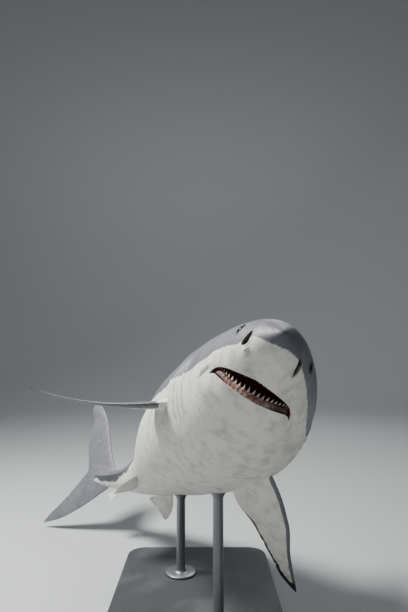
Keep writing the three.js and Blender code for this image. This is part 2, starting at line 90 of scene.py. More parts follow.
@dataclass(frozen=True)
class Curve:
    """A smooth curve through points that never overshoots between them."""

    points: tuple[Pair, ...]

    def __call__(self, at: Array) -> Array:
        """Reads the curve.

        Args:
            at: The places to read it at.

        Returns:
            The curve's value at each place, held level beyond its ends.
        """
        xs, ys = np.array(self.points, float).T
        steps = np.diff(xs)
        slopes = np.diff(ys) / steps
        tangents = np.zeros(len(xs))
        tangents[0], tangents[-1] = slopes[0], slopes[-1]
        before, after = 2 * steps[1:] + steps[:-1], steps[1:] + 2 * steps[:-1]
        same_way = slopes[:-1] * slopes[1:] > 0
        safe = np.where(same_way, slopes[:-1], 1), np.where(same_way, slopes[1:], 1)
        mean = (before + after) / (before / safe[0] + after / safe[1])
        tangents[1:-1] = np.where(same_way, mean, 0)
        i = np.clip(np.searchsorted(xs, at, side="right") - 1, 0, len(xs) - 2)
        t = np.clip((at - xs[i]) / steps[i], 0, 1)
        u = 1 - t
        return (
            (1 + 2 * t) * u * u * ys[i]
            + t * u * u * steps[i] * tangents[i]
            + t * t * (3 - 2 * t) * ys[i + 1]
            - t * t * u * steps[i] * tangents[i + 1]
        )


@dataclass(frozen=True)
class Ripple:
    """A smooth, seeded wandering along a line or over space, made of a few sines."""

    seed: int
    waves: int = 5
    longest: float = 6.0
    shortest: float = 1.0

    def __call__(self, points: Array) -> Array:
        """Reads the ripple.

        Args:
            points: Places, as an array whose last axis holds the coordinates.

        Returns:
            About -1 to 1 at each place.
        """
        draw = np.random.default_rng(self.seed)
        total = np.zeros(points.shape[:-1])
        for step in np.linspace(0, 1, self.waves):
            length = self.longest * (self.shortest / self.longest) ** step
            way = unit(draw.normal(size=points.shape[-1]))
            total += np.sin(points @ way * 2 * math.pi / length + draw.uniform(0, 2 * math.pi))
        return total / self.waves * 1.3


# ---- the pose ----


@dataclass(frozen=True)
class Bend:
    """A stretch of the spine that turns, in degrees."""

    start: float
    end: float
    right: float = 0.0
    up: float = 0.0
    bank: float = 0.0


@dataclass
class Spine:
    """The bent line that carries the straight shark into its pose."""

    snout_tip: Triple = (0.375, -1.678, 1.848)
    heading: float = 5.6
    nose_up: float = 23.1
    bank: float = 32.5
    step: float = 0.25
    count: int = 420
    bends: tuple[Bend, ...] = (
        Bend(10, 42, right=14.7, up=-4.3),
        Bend(34, 66, right=-4.5, up=-14),
        Bend(56, 84, right=26.9, up=0.8),
        Bend(76, 94, right=22.7, up=14.6),
        Bend(20, 75, bank=-8.5),
    )

    def __post_init__(self) -> None:
        """Works out the spine's place and axes at every station."""
        self.at = np.arange(self.count + 1) * self.step
        yaw, pitch, roll = (np.zeros(self.count + 1) for _ in range(3))
        for bend in self.bends:
            share = np.radians(smoothstep(self.at, bend.start, bend.end))
            yaw += bend.right * share
            pitch += bend.up * share
            roll += bend.bank * share
        level = np.stack([-np.sin(yaw), np.cos(yaw), np.zeros_like(yaw)], -1)
        back = np.stack([np.cos(yaw) * np.cos(pitch), np.sin(yaw) * np.cos(pitch), np.sin(pitch)], -1)
        upright = np.cross(back, level)
        c, s = np.cos(roll)[:, None], np.sin(roll)[:, None]
        turn = (
            Matrix.Rotation(math.radians(self.heading), 3, "Z")
            @ Matrix.Rotation(math.radians(-self.nose_up), 3, "X")
            @ Matrix.Rotation(math.radians(self.bank), 3, "Y")
        )
        turn = np.array(turn)

        def settle(v: Array) -> Array:
            """Turns head axes into the room's."""
            return np.stack([-v[:, 1], v[:, 0], v[:, 2]], -1) @ turn.T

        self.back = settle(back)
        self.right = settle(level * c + upright * s)
        self.up = settle(upright * c - level * s)
        steps = (self.back[1:] + self.back[:-1]) * 0.5 * self.step * PERCENT
        self.place = np.array(self.snout_tip) + np.vstack([np.zeros(3), np.cumsum(steps, axis=0)])

    def _read(self, values: Array, x: Array) -> Array:
        """Reads a list of vectors part way between two stations."""
        return np.stack([np.interp(x, self.at, values[:, k]) for k in range(3)], -1)

    def pose(self, points: Array) -> Array:
        """Carries points of the straight shark to their place in the pose.

        Args:
            points: Places in percent, n by 3.

        Returns:
            Places in metres, n by 3.
        """
        x = np.maximum(points[:, 0], 0)
        ahead = np.minimum(points[:, 0], 0)
        moved = self._read(self.place, x)
        moved += self._read(self.back, x) * (ahead * PERCENT)[:, None]
        moved += self._read(self.right, x) * (points[:, 1] * PERCENT)[:, None]
        moved += self._read(self.up, x) * (points[:, 2] * PERCENT)[:, None]
        return moved


# ---- meshes ----


@dataclass
class Shell:
    """A closed surface in percent, with named values at its points."""

    points: Array
    faces: list
    values: dict[str, Array] = field(default_factory=dict)


def loft(rows: Sequence[Array]) -> tuple[Array, list]:
    """Joins rows of points into a closed surface.

    Args:
        rows: Rings of n points, with a single point as the first and last row.

    Returns:
        The points and the faces, which face outwards when the rings run anticlockwise about the way.
    """
    points = np.vstack(rows)
    size = len(rows[1])
    rings = len(rows) - 2
    first = 1 + np.arange(rings)[:, None] * size + np.arange(size)[None, :]
    following = np.roll(first, -1, axis=1)
    quads = np.stack([first[:-1], following[:-1], following[1:], first[1:]], -1).reshape(-1, 4)
    faces = quads.tolist()
    last = len(points) - 1
    faces += [(0, b, a) for a, b in zip(first[0].tolist(), following[0].tolist())]
    faces += [(last, a, b) for a, b in zip(first[-1].tolist(), following[-1].tolist())]
    corner = points[np.array([f[:3] for f in faces])]
    volume = np.einsum("ij,ij->i", corner[:, 0], np.cross(corner[:, 1], corner[:, 2])).sum()
    if volume < 0:
        faces = [tuple(reversed(f)) for f in faces]
    return points, faces


def gather(shells: Sequence[Shell], kept: Sequence[str] = ()) -> Shell:
    """Puts several closed surfaces in one shell.

    Args:
        shells: The surfaces.
        kept: The names of the values to keep at their points.

    Returns:
        All of the surfaces together.
    """
    faces, first = [], 0
    for shell in shells:
        faces += [tuple(i + first for i in face) for face in shell.faces]
        first += len(shell.points)
    held = {name: np.concatenate([shell.values[name] for shell in shells]) for name in kept}
    return Shell(np.vstack([shell.points for shell in shells]), faces, held)


def full_turn(count: int) -> Array:
    """A number of angles spread evenly round a circle."""
    return np.arange(count) * 2 * math.pi / count


def make_mesh(
    name: str, points: Array, faces: list, values: Optional[dict[str, Array]] = None
) -> Piece:
    """Makes a mesh object with smooth faces.

    Args:
        name: The object's name.
        points: The points, n by 3.
        faces: The faces, as lists of point numbers.
        values: Named values at the points, single or in threes.

    Returns:
        The new object, linked to the scene.
    """
    mesh = bpy.data.meshes.new(name)
    sizes = np.fromiter((len(f) for f in faces), np.int32, len(faces))
    corners = np.fromiter((i for f in faces for i in f), np.int32, int(sizes.sum()))
    mesh.vertices.add(len(points))
    mesh.vertices.foreach_set("co", np.asarray(points, np.float32).ravel())
    mesh.loops.add(len(corners))
    mesh.loops.foreach_set("vertex_index", corners)
    mesh.polygons.add(len(faces))
    mesh.polygons.foreach_set("loop_start", np.concatenate([[0], np.cumsum(sizes)[:-1]]).astype(np.int32))
    mesh.update(calc_edges=True)
    mesh.validate()
    mesh.polygons.foreach_set("use_smooth", np.ones(len(mesh.polygons), bool))
    for key, value in (values or {}).items():
        write_value(mesh, key, value)
    made = bpy.data.objects.new(name, mesh)
    bpy.context.scene.collection.objects.link(made)
    return made


def write_value(mesh: bpy.types.Mesh, name: str, value: Array) -> None:
    """Stores a value, or a vector, at each point of a mesh.

    Args:
        mesh: The mesh.
        name: What the value is kept as.
        value: One number or three for each point.
    """
    if value.ndim == 1:
        held = mesh.attributes.new(name, "FLOAT", "POINT")
        held.data.foreach_set("value", np.asarray(value, np.float32))
        return
    held = mesh.attributes.new(name, "FLOAT_VECTOR", "POINT")
    held.data.foreach_set("vector", np.asarray(value, np.float32).ravel())


def read_out(
    items: bpy.types.bpy_prop_collection, name: str, across: int = 1, kind: type = np.float32
) -> Array:
    """Reads one property of all the items of a mesh.

    Args:
        items: Its points, edges or stored values.
        name: The property.
        across: How many numbers each item has.
        kind: The numbers' type.

    Returns:
        A number for each item, or a row of them.
    """
    held = np.empty(len(items) * across, kind)
    items.foreach_get(name, held)
    return held.reshape(-1, across) if across > 1 else held


class Joining(Enum):
    """How one closed surface is joined to another."""

    ADD = "UNION"
    CUT = "DIFFERENCE"


def join(kept: Piece, tool: Piece, how: Joining) -> None:
    """Adds a closed surface to another, or cuts it out, and removes the tool.

    Args:
        kept: The object that is changed.
        tool: The object that is added or cut out.
        how: Whether it is added or cut out.
    """
    modifier = kept.modifiers.new("join", "BOOLEAN")
    modifier.object = tool
    modifier.operation = how.value
    modifier.solver = "MANIFOLD"
    found = bpy.context.evaluated_depsgraph_get()
    made = bpy.data.meshes.new_from_object(kept.evaluated_get(found), depsgraph=found)
    kept.modifiers.clear()
    old = kept.data
    kept.data = made
    bpy.data.meshes.remove(old)
    bpy.data.objects.remove(tool)


def relax(points: Array, edges: Array, weight: Array, rounds: int) -> Array:
    """Evens out points towards their neighbours, where the weight says.

    Args:
        points: The points, n by 3.
        edges: Pairs of neighbouring point numbers.
        weight: How freely each point moves, 0 to 1.
        rounds: How many times it is done.

    Returns:
        The moved points.
    """
    still = 0.001
    pull = 0.6
    near = (weight[edges] > still).any(axis=1)
    a, b = edges[near].T
    used, back = np.unique(np.concatenate([a, b]), return_inverse=True)
    a, b = back[: len(a)], back[len(a):]
    count = np.bincount(a, minlength=len(used)) + np.bincount(b, minlength=len(used))
    held = points[used]
    share = (weight[used] * pull)[:, None]
    for _ in range(rounds):
        mean = np.stack(
            [
                np.bincount(a, held[b, k], len(used)) + np.bincount(b, held[a, k], len(used))
                for k in range(3)
            ],
            -1,
        )
        held = held + share * (mean / count[:, None] - held)
    moved = points.copy()
    moved[used] = held
    return moved


def distance_to(line: Array, points: Array, reach: float) -> Array:
    """How far points are from the nearest of a few others.

    Args:
        line: The few points, m by 3.
        points: The points to measure, n by 3.
        reach: Distances beyond this aren't needed.

    Returns:
        The distances, cut off at the reach.
    """
    tree = kdtree.KDTree(len(line))
    for index, point in enumerate(line):
        tree.insert(point, index)
    tree.balance()
    found = np.full(len(points), reach)
    offset = 500
    places = np.array([1_000_000, 1_000, 1])
    steps = (-1, 0, 1)
    cells = {tuple(c) for c in np.floor(line / reach).astype(int)}
    close = [(a + i, b + j, c + k) for a, b, c in cells for i in steps for j in steps for k in steps]
    wanted = (np.array(close) + offset) @ places
    codes = (np.floor(points / reach).astype(int) + offset) @ places
    for index in np.nonzero(np.isin(codes, wanted))[0]:
        found[index] = min(tree.find(points[index])[2], reach)
    return found


# ---- the trunk ----


@dataclass
class Trunk:
    """The body from the snout to the tail stalk, without its fins."""

    top: Curve = Curve((
        (0, 1), (2, 2.2), (5, 3.7), (8, 4.85), (12, 6.15), (18, 7.4), (25, 8.4), (35, 9.25),
        (45, 8.9), (55, 7.55), (65, 5.5), (74, 3.45), (80, 2.2), (84, 1.75), (88, 1.5),
    ))
    bottom: Curve = Curve((
        (0, 0.8), (2, 1.8), (5, 3), (8, 4.25), (12, 6.15), (18, 7.95), (25, 9.05), (35, 9.65),
        (45, 9.45), (55, 7.9), (65, 5.4), (74, 3.25), (80, 2), (84, 1.65), (88, 1.4),
    ))
    width: Curve = Curve((
        (0, 1), (2, 2.3), (5, 3.9), (8, 5.15), (12, 6.6), (18, 8.35), (25, 9.6), (35, 10.1),
        (45, 9.4), (55, 7.55), (65, 5.25), (74, 3.05), (80, 1.8), (84, 1.3), (88, 0.9),
    ))
    keel: Curve = Curve(((70, 0), (76, 0.6), (81, 1.2), (84, 1.15), (87, 0.5), (88.5, 0.1)))
    spacing: Curve = Curve((
        (0, 0.012), (0.6, 0.05), (2, 0.07), (28, 0.075), (34, 0.15), (74, 0.17), (88, 0.12),
    ))
    nose_rounding: float = 2.6
    roundness: float = 0.93
    keel_half_height: float = 0.45
    first_station: float = 0.015
    end: float = 88.0
    columns: int = 560
    keel_gather: float = 0.42

    def skin(self, x: Array, angle: Array, swell: float = 0.0) -> Array:
        """The plain surface.

        Args:
            x: Stations.
            angle: Angles about the body: 0 is its right side and a quarter turn its back.
            swell: How far the surface is moved out.

        Returns:
            Places on the surface.
        """
        blunt = np.sqrt(np.maximum(1 - (1 - np.clip(x / self.nose_rounding, 0, 1)) ** 2, 0))
        c, s = np.cos(angle), np.sin(angle)
        height = np.where(s >= 0, self.top(x), self.bottom(x)) * blunt + swell
        y = np.sign(c) * np.abs(c) ** self.roundness * (self.width(x) * blunt + swell)
        z = np.sign(s) * np.abs(s) ** self.roundness * height
        ridge = np.where(x > self.keel.points[0][0], self.keel(x), 0) * bump(z, self.keel_half_height)
        return np.stack([x + 0 * y, y + np.sign(c) * ridge, z], -1)

    def underside(self, x: Array, y: Array) -> Array:
        """The height of the belly at stations x and places y across it."""
        c = np.clip(np.abs(y) / self.width(x), 0, 1) ** (1 / self.roundness)
        return -self.bottom(x) * np.sqrt(1 - c * c) ** self.roundness

    def half_width(self, x: Array, z: float) -> Array:
        """Half the body's width at stations x and a height z below its middle."""
        s = np.clip(-z / self.bottom(x), 0, 1) ** (1 / self.roundness)
        return self.width(x) * np.sqrt(1 - s * s) ** self.roundness

    def depth_out(self, points: Array) -> Array:
        """Measures points against the plain surface.

        Args:
            points: The points, n by 3.

        Returns:
            About how far each lies outside the body, with less than nothing inside it.
        """
        x, y, z = points.T
        tall = np.where(z >= 0, self.top(x), self.bottom(x))
        power = 2 / self.roundness
        reach = (np.abs(y / self.width(x)) ** power + np.abs(z / tall) ** power) ** (1 / power)
        return np.hypot(y, z) * (1 - 1 / np.maximum(reach, 1e-3))

    def stations(self) -> Array:
        """Spreads the rows of points, close together on the head.

        Returns:
            The station of each row.
        """
        made = [self.first_station]
        while made[-1] < self.end:
            made.append(made[-1] + float(self.spacing(np.array(made[-1]))))
        made[-1] = self.end
        return np.array(made)

    def angles(self, x: Array) -> Array:
        """Spreads each row's points, gathered at the keels on the tail stalk.

        Args:
            x: The rows' stations.

        Returns:
            An angle for each point of each row.
        """
        even = full_turn(self.columns)[None, :]
        drawn = self.keel_gather * smoothstep(x, 68, 78)[:, None]
        return even - drawn * np.sin(2 * even) / 2 - drawn * np.sin(4 * even) / 8


# ---- the mouth ----


@dataclass
class Mouth:
    """An arc of upper lip, a lower jaw that hangs a little open, and the hollow between them."""

    trunk: Trunk
    upper_front: float = 5.55
    lower_front: float = 6.9
    corner: float = 10.3
    half_width: float = 4.85
    jaw_half_width: float = 4.75
    drop: float = 1.05
    corner_height: float = -3.1
    bulge_end: float = 14.0
    throat_depth: float = 1.7
    floor: float = -4.3
    wall: float = 5.0
    arch: float = 1.68
    cheek_run: float = 2.5
    corner_lip: float = 0.15
    hollow_middle: float = 8.6
    hollow_points: int = 220
    hollow_shares: tuple[float, ...] = (0.12, 0.3, 0.5, 0.68, 0.8, 0.88, 0.93, 0.965, 0.99, 1.0)
    gape_bulge: float = 0.42
    gape_way: Pair = (0.77, -0.64)
    palate: Curve = Curve(((5.5, -2.35), (6.5, -1.7), (8, -1.4), (10.3, -2.0), (12, -2.6)))

    def upper(self, turn: Array, scale: float = 1.0) -> tuple[Array, Array]:
        """The upper lip's line, seen from above.

        Args:
            turn: Angles about the middle of the mouth, 0 in front and positive to the right.
            scale: 1 on the line and less inside it.

        Returns:
            Where it runs, along and across.
        """
        return self._outline(turn, self.corner - self.upper_front, self.half_width, scale, 2 / self.arch)

    def lower(self, turn: Array, scale: float = 1.0) -> tuple[Array, Array]:
        """The lower lip's line, with turn and scale as for the upper."""
        return self._outline(turn, self.corner - self.lower_front, self.jaw_half_width, scale, 1.0)

    def _outline(
        self, turn: Array, reach: float, half_width: float, scale: float, power: float
    ) -> tuple[Array, Array]:
        """Half an oval in front of the corners, and a shallow one behind them.

        Args:
            turn: Angles about the middle of the mouth.
            reach: How far in front of the corners the line runs.
            half_width: Half the distance between the corners.
            scale: 1 on the line and less inside it.
            power: 1 for an ellipse, more for a more pointed arch.

        Returns:
            Where the line runs, along and across.
        """
        c, s = np.cos(turn), np.sin(turn)
        along = np.where(c > 0, reach * np.abs(c) ** power, self.throat_depth * c)
        return self.corner - along * scale, half_width * np.sign(s) * np.abs(s) ** power * scale

    def hang(self, x: Array, y: Array) -> Array:
        """How far the jaw and throat hang below the closed body.

        Args:
            x: Stations.
            y: Places across.

        Returns:
            How far the skin there is lowered.
        """
        ahead = self.corner - x
        reach = np.maximum(ahead, 0) / (self.corner - self.upper_front)
        upper = (reach**self.arch + np.abs(y / self.half_width) ** self.arch) ** (1 / self.arch)
        lower = np.hypot(ahead / (self.corner - self.lower_front), y / self.jaw_half_width)
        rim = np.clip(ahead / (self.corner - self.lower_front), 0, 1)
        throat = 1 - smoothstep(x, self.lower_front, self.bulge_end)
        arc = self.jaw_half_width * np.sqrt(np.clip(1 - rim**2, 0, 1))
        behind = self.trunk.half_width(np.maximum(x, self.corner), self.corner_height)
        ease = smoothstep(x, self.corner, self.corner + self.cheek_run)
        wide = np.where(ahead > 0, arc, self.jaw_half_width + (behind - self.jaw_half_width) * ease)
        across = np.clip(np.abs(y) / np.maximum(wide, 1e-6), 0, 1)
        inside = self.drop * (throat + (rim - throat) * across**2)
        gap = np.maximum(1 - upper, 0)
        band = gap / np.maximum(gap + np.maximum(lower - 1, 0), 1e-9)
        return np.where((ahead <= 0) | (lower <= 1), inside, self.drop * rim * band)

    def lip_height(self, turn: Array) -> Array:
        """The height of the upper lip's line.

        Args:
            turn: Angles about the middle of the mouth.

        Returns:
            The height at each.
        """
        x, y = self.upper(turn)
        back = self.corner_height - self.corner_lip
        return np.where(np.cos(turn) > 0, self.trunk.underside(np.minimum(x, self.corner), y), back)

    def rim_height(self, turn: Array) -> Array:
        """The height of the lower lip's line.

        Args:
            turn: Angles about the middle of the mouth.

        Returns:
            The height at each.
        """
        x, y = self.lower(turn)
        closed = self.trunk.underside(np.minimum(x, self.corner), y) - self.hang(x, y)
        back = self.corner_height - self.corner_lip
        return np.where(np.cos(turn) > 0, closed, back)

    def hollow(self) -> Shell:
        """Makes all that is cut out of the body for the mouth.

        Returns:
            A closed surface: the palate, the gape between the lips and the floor of the mouth.
        """
        turn = full_turn(self.hollow_points)
        lip, rim = self.lip_height(turn), self.rim_height(turn)
        apart = np.hypot(lip - rim, self.lower(turn)[0] - self.upper(turn)[0])
        rows = [np.array([[self.hollow_middle, 0, float(self.palate(np.array(self.hollow_middle)))]])]
        for share in self.hollow_shares:
            x, y = self.upper(turn, share)
            roof = self.palate(x) - 0.25 * (y / self.half_width) ** 2
            rows.append(np.stack([x, y, lip + (roof - lip) * (1 - share**self.wall)], -1))
        for between in (0.3, 0.6):
            ux, uy = self.upper(turn)
            lx, ly = self.lower(turn)
            x, y = ux + (lx - ux) * between, uy + (ly - uy) * between
            z = lip + (rim - lip) * between
            out = np.where(np.cos(turn) > 0, self.gape_bulge * apart, 0)
            level, down = self.gape_way
            ahead, beside = -np.cos(turn) * level, np.sin(turn) * level
            rows.append(np.stack([x + ahead * out, y + beside * out, z + down * out - 0.004], -1))
        for share in reversed(self.hollow_shares):
            x, y = self.lower(turn, share)
            bed = self.floor - 0.03 * (x - 8) + 0.2 * (1 - (y / self.jaw_half_width) ** 2)
            rows.append(np.stack([x, y, rim + (bed - rim) * (1 - share**self.wall) - 0.008], -1))
        rows.append(np.array([[self.hollow_middle, 0, self.floor + 0.2]]))
        return Shell(*loft(rows))

    def lip_lines(self) -> tuple[Array, Array]:
        """Traces the lips.

        Returns:
            Points along the upper lip, and points along the lower one.
        """
        turn = np.linspace(-math.pi / 2, math.pi / 2, 240)
        upper = np.stack([*self.upper(turn), self.lip_height(turn)], -1)
        lower = np.stack([*self.lower(turn), self.rim_height(turn)], -1)
        return upper, lower


# ---- relief: what stands out of the plain surface, or is sunk in it ----


@dataclass
class Relief:
    """Raises and sinks the skin. Each feature is asked for places and says how far they move outwards."""

    trunk: Trunk
    mouth: Mouth
    eye_place: Pair = (5.5, 0.9)
    eye_radius: float = 0.46
    eye_socket: float = 0.34
    eye_rim: float = 0.08
    brow: float = 0.11
    bag: float = 0.05
    nostril_place: Pair = (3.15, -0.85)
    nostril_slant: float = 42.0
    nostril_length: float = 0.84
    nostril_half_width: float = 0.32
    nostril_depth: float = 0.62
    nostril_bend: float = 0.18
    nostril_rim: float = 0.07
    flap_place: Pair = (3.7, -1.75)
    flap: float = 0.3
    flap_crease: float = 0.16
    gill_count: int = 5
    gill_first: float = 18.0
    gill_last: float = 24.8
    gill_top: float = 8.0
    gill_bottom: float = -52.0
    gill_lean: float = 1.1
    gill_depth: float = 0.42
    gill_ridge: float = 0.25
    corner_fold: float = 0.2
    corner_swell: float = 0.13
    cheek: float = 0.26
    cheek_groove: float = 0.2
    side_line: float = 0.025
    muscle: float = 0.07
    wrinkle: float = 0.018
    tail_pit: float = 0.35

    def on_side(self, x: float, z: float, side: int) -> Array:
        """Finds a place on the plain skin.

        Args:
            x: Its station.
            z: Its height.
            side: Which side it is on.

        Returns:
            The place.
        """
        tall = float((self.trunk.top if z >= 0 else self.trunk.bottom)(np.array(x)))
        angle = math.copysign(math.asin(min(abs(z) / tall, 1) ** (1 / self.trunk.roundness)), z)
        return self.trunk.skin(np.array(x), np.array(angle if side > 0 else math.pi - angle))

    def eyes(self, points: Array) -> tuple[Array, Array]:
        """Sockets that the eyeballs fill, each in a low raised rim under a slight brow.

        Args:
            points: Places on the skin.

        Returns:
            How far each place moves out, and how much painted shade darkens the skin in and round the socket.
        """
        moved, dark = np.zeros(points.shape[:-1]), np.zeros(points.shape[:-1])
        for side in (RIGHT, LEFT):
            away = points - self.on_side(*self.eye_place, side)
            far = np.linalg.norm(away, axis=-1)
            moved -= self.eye_socket * (1 - smoothstep(far, self.eye_radius - 0.07, self.eye_radius + 0.03))
            moved += self.eye_rim * bump(far - self.eye_radius - 0.16, 0.1)
            brow = bump(away[..., 2] - 0.85 - 0.1 * away[..., 0], 0.3) * bump(away[..., 0] - 0.1, 1.1)
            moved += self.brow * brow * bump(away[..., 1], 2.5)
            under = bump(far - self.eye_radius - 0.42, 0.12) * (away[..., 2] < 0.2)
            moved -= self.bag * under * bump(away[..., 2] + 0.7, 0.6)
            # Painted shade: a dark ring over the socket and the lid skin round the eyeball.
            dark = np.maximum(dark, 1 - smoothstep(far, self.eye_radius + 0.1, self.eye_radius + 0.34))
        return moved, dark

    def nostrils(self, points: Array) -> tuple[Array, Array]:
        """Slanting slots under the snout, each with a flap of skin and a crease at its lower end.

        Args:
            points: Places on the skin.

        Returns:
            How far each place moves out, and how much painted shade darkens the skin in and round the slot
            and along the crease.
        """
        moved, dark = np.zeros(points.shape[:-1]), np.zeros(points.shape[:-1])
        slant = math.radians(self.nostril_slant)
        for side in (RIGHT, LEFT):
            place = self.on_side(*self.nostril_place, side)
            ahead = self.on_side(self.nostril_place[0] - 0.4, self.nostril_place[1], side)
            above = self.on_side(self.nostril_place[0], self.nostril_place[1] + 0.4, side)
            long = unit(unit(ahead - place) * math.cos(slant) + unit(above - place) * math.sin(slant))
            out = unit(np.cross(ahead - place, above - place))
            wide = np.cross(out, long)
            away = points - place
            near = np.linalg.norm(away, axis=-1) < 2.5
            u, v = away @ long, away @ wide
            v = v - self.nostril_bend * (u / self.nostril_length) ** 2 * side
            inside = (u / self.nostril_length) ** 2 + (v / self.nostril_half_width) ** 2
            pit = near * (1 - smoothstep(inside, 0.5, 1.35))
            moved -= self.nostril_depth * pit
            rim = np.sqrt(inside + 1e-9) - 1.3
            moved += near * self.nostril_rim * bump(rim, 0.4)
            flap = points - self.on_side(*self.flap_place, side)
            moved += self.flap * bump(np.linalg.norm(flap, axis=-1), 0.42)
            crease = bump(flap[..., 1] * side + 0.34, 0.09) * bump(flap[..., 0], 0.45) * (points[..., 2] < 0)
            moved -= self.flap_crease * crease
            # Painted shade: dark in and just round the slot, with a fainter painted shadow line along the
            # crease.
            stain_and_shade = near * (1 - smoothstep(inside, 0.9, 1.8))
            dark = np.maximum(dark, np.maximum(stain_and_shade, 0.3 * crease))
        return moved, dark

    def gill_line(self, x: Array, share: Array) -> Array:
        """How far back the slit from a station x is at each share of the way down it."""
        return x + self.gill_lean * 2 * (share - 0.3) ** 2

    def gills(self, points: Array, angle: Array) -> tuple[Array, Array]:
        """Five long slits a side, each under the edge of a flap.

        Args:
            points: Places on the skin.
            angle: The angle about the body of each.

        Returns:
            How far each place moves out, and how deep in a slit it is.
        """
        side_angle = np.degrees(np.arcsin(np.clip(np.sin(angle), -1, 1)))
        share = (self.gill_top - side_angle) / (self.gill_top - self.gill_bottom)
        moved, dark = np.zeros(points.shape[:-1]), np.zeros(points.shape[:-1])
        for number, x in enumerate(np.linspace(self.gill_first, self.gill_last, self.gill_count)):
            reach = 1.0 - 0.05 * abs(number - 1)
            along = (share - 0.5) / (0.5 * reach)
            fade = np.clip(1 - np.abs(along) ** 3, 0, 1) * (np.abs(along) < 1)
            behind = points[..., 0] - self.gill_line(x, share)
            slit = (1 - smoothstep(behind, 0.0, 0.55)) * smoothstep(behind, -0.14, 0.0)
            moved -= self.gill_depth * slit * fade
            moved += self.gill_ridge * fade * bump(behind + 0.32, 0.36) * (behind < 0)
            shade = smoothstep(behind, -0.13, 0.0) * (1 - smoothstep(behind, 0.02, 0.3))
            dark = np.maximum(dark, fade * shade)
        return moved, dark

    def folds(self, points: Array) -> Array:
        """Creases at the mouth's corners, the lateral line, and the low swell of the muscles.

        Args:
            points: Places on the skin.

        Returns:
            How far each place moves out.
        """
        x, y, z = np.moveaxis(points, -1, 0)
        moved = np.zeros(points.shape[:-1])
        corner = self.mouth.corner
        fold_line = self.mouth.corner_height + 0.25 - 0.33 * np.clip(x - corner, 0, 4)
        fold = bump(z - fold_line, 0.16) * smoothstep(x, corner - 0.5, corner + 0.2)
        moved -= self.corner_fold * fold * (1 - smoothstep(x, corner + 0.8, corner + 3.2))
        above = bump(z - fold_line - 0.45, 0.34) * smoothstep(x, corner - 2.2, corner) * (z < 0)
        moved += self.corner_swell * above * (1 - smoothstep(x, corner + 0.8, corner + 2.8))
        moved += self.cheek * bump(x - 11.2, 1.5) * bump(z + 4.4, 1.4) * bump(np.abs(y) - 4.6, 1.6)
        moved -= self.cheek_groove * bump(x - 14.6, 0.9) * bump(z + 3.8, 2.2)
        line = bump(z - 0.35 * self.trunk.top(x), 0.12) * smoothstep(x, 16, 20)
        moved -= self.side_line * line * (1 - smoothstep(x, 78, 84))
        swell = Ripple(3, 5, 16, 5)(points)
        moved += self.muscle * swell * smoothstep(x, 12, 24) * (1 - smoothstep(x, 70, 84))
        wrinkle = Ripple(8, 5, 1.5, 0.5)(points * np.array([1.0, 0.25, 0.25]))
        neck = smoothstep(x, 12, 16) * (1 - smoothstep(x, 30, 40))
        moved += self.wrinkle * wrinkle * neck
        pit = bump(x - 84.6, 0.9) * np.where(np.abs(y) < 0.7, 1, 0) * bump(y, 0.5)
        moved -= self.tail_pit * pit * np.where(z > 0, 1, 0.35)
        return moved


# ---- fins ----


class Part(IntEnum):
    """The parts of the skin, numbered so that each point of it knows its own."""

    BODY = 0
    CAUDAL = 1
    DORSAL = 2
    SECOND_DORSAL = 3
    ANAL = 4
    PECTORAL_RIGHT = 5
    PECTORAL_LEFT = 6
    PELVIC_RIGHT = 7
    PELVIC_LEFT = 8
    MOUTH = 20


def foil(t: Array) -> Array:
    """Half a fin's thickness at a share t of its chord from the leading edge."""
    return 5 * (0.2969 * np.sqrt(t) - 0.126 * t - 0.3516 * t**2 + 0.2843 * t**3 - 0.1015 * t**4)


@dataclass(frozen=True)
class Notch:
    """A nick in a fin's trailing edge."""

    at: float
    depth: float
    width: float


@dataclass
class Fin:
    """What every fin shares: an outline, a section and rows of points along its length."""

    name: str
    lead: Curve
    trail: Curve
    thickness: float
    number: Part
    notches: tuple[Notch, ...] = ()
    rows: int = 130
    chord_steps: int = 46
    thinnest: float = 0.03
    edge_width: float = 0.05
    edge_thinning: float = 0.55

    def edges(self, at: Array) -> tuple[Array, Array]:
        """Reads the fin's outline.

        Args:
            at: Places along the fin.

        Returns:
            Where the leading edge and the trailing edge are there, along the body.
        """
        front, back = self.lead(at), self.trail(at)
        for notch in self.notches:
            back = back - notch.depth * bump(at - notch.at, notch.width)
        return front, np.maximum(back, front + 0.02)

    def section(self, front: float, back: float, thickness: float) -> tuple[Array, Array, Array, Array]:
        """Points round the fin's section.

        Args:
            front: The leading edge.
            back: The trailing edge.
            thickness: The greatest thickness, as a share of the chord.

        Returns:
            Places along the chord, half thicknesses with a sign for the face, shares of the chord, and
            faces, 1 or -1.
        """
        t = (1 - np.cos(np.linspace(0, math.pi, self.chord_steps))) / 2
        chord = back - front
        thick = np.maximum(foil(t) * thickness * chord, self.thinnest * np.minimum(1, t * 60))
        edge = 1 - smoothstep((1 - t) * chord, 0.0, self.edge_width)
        thick = thick * (1 - self.edge_thinning * edge)
        share = np.concatenate([t, t[1:][::-1]])
        face = np.concatenate([np.ones(len(t)), -np.ones(len(t) - 1)])
        face[0] = 0
        half = np.concatenate([thick, -thick[1:][::-1]])
        return front + share * chord, half, share, face


@dataclass
class UprightFin(Fin):
    """A fin that stands on the middle line."""

    low: float = 0.0
    high: float = 1.0

    def shell(self) -> Shell:
        """Makes the fin.

        Returns:
            Its closed surface.
        """
        spread = np.linspace(0, 1, self.rows)
        heights = self.low + (self.high - self.low) * (1 - (1 - spread) ** 1.15)
        points, values = [], []
        for z in heights[:-1]:
            front, back = (float(v) for v in self.edges(np.array(z)))
            along, half, share, face = self.section(front, back, self.thickness)
            points.append(np.stack([along, half, np.full_like(along, z)], -1))
            gone = np.full_like(along, (z - self.low) / (self.high - self.low))
            values.append(np.stack([gone, share, face, np.full_like(along, back - front)], -1))
        front, back = (float(v) for v in self.edges(np.array(self.high)))
        tip = np.array([[(front + back) / 2, 0, self.high]])
        root = points[0].mean(0, keepdims=True)
        return finish_fin(self.number, [root, *points, tip], values)


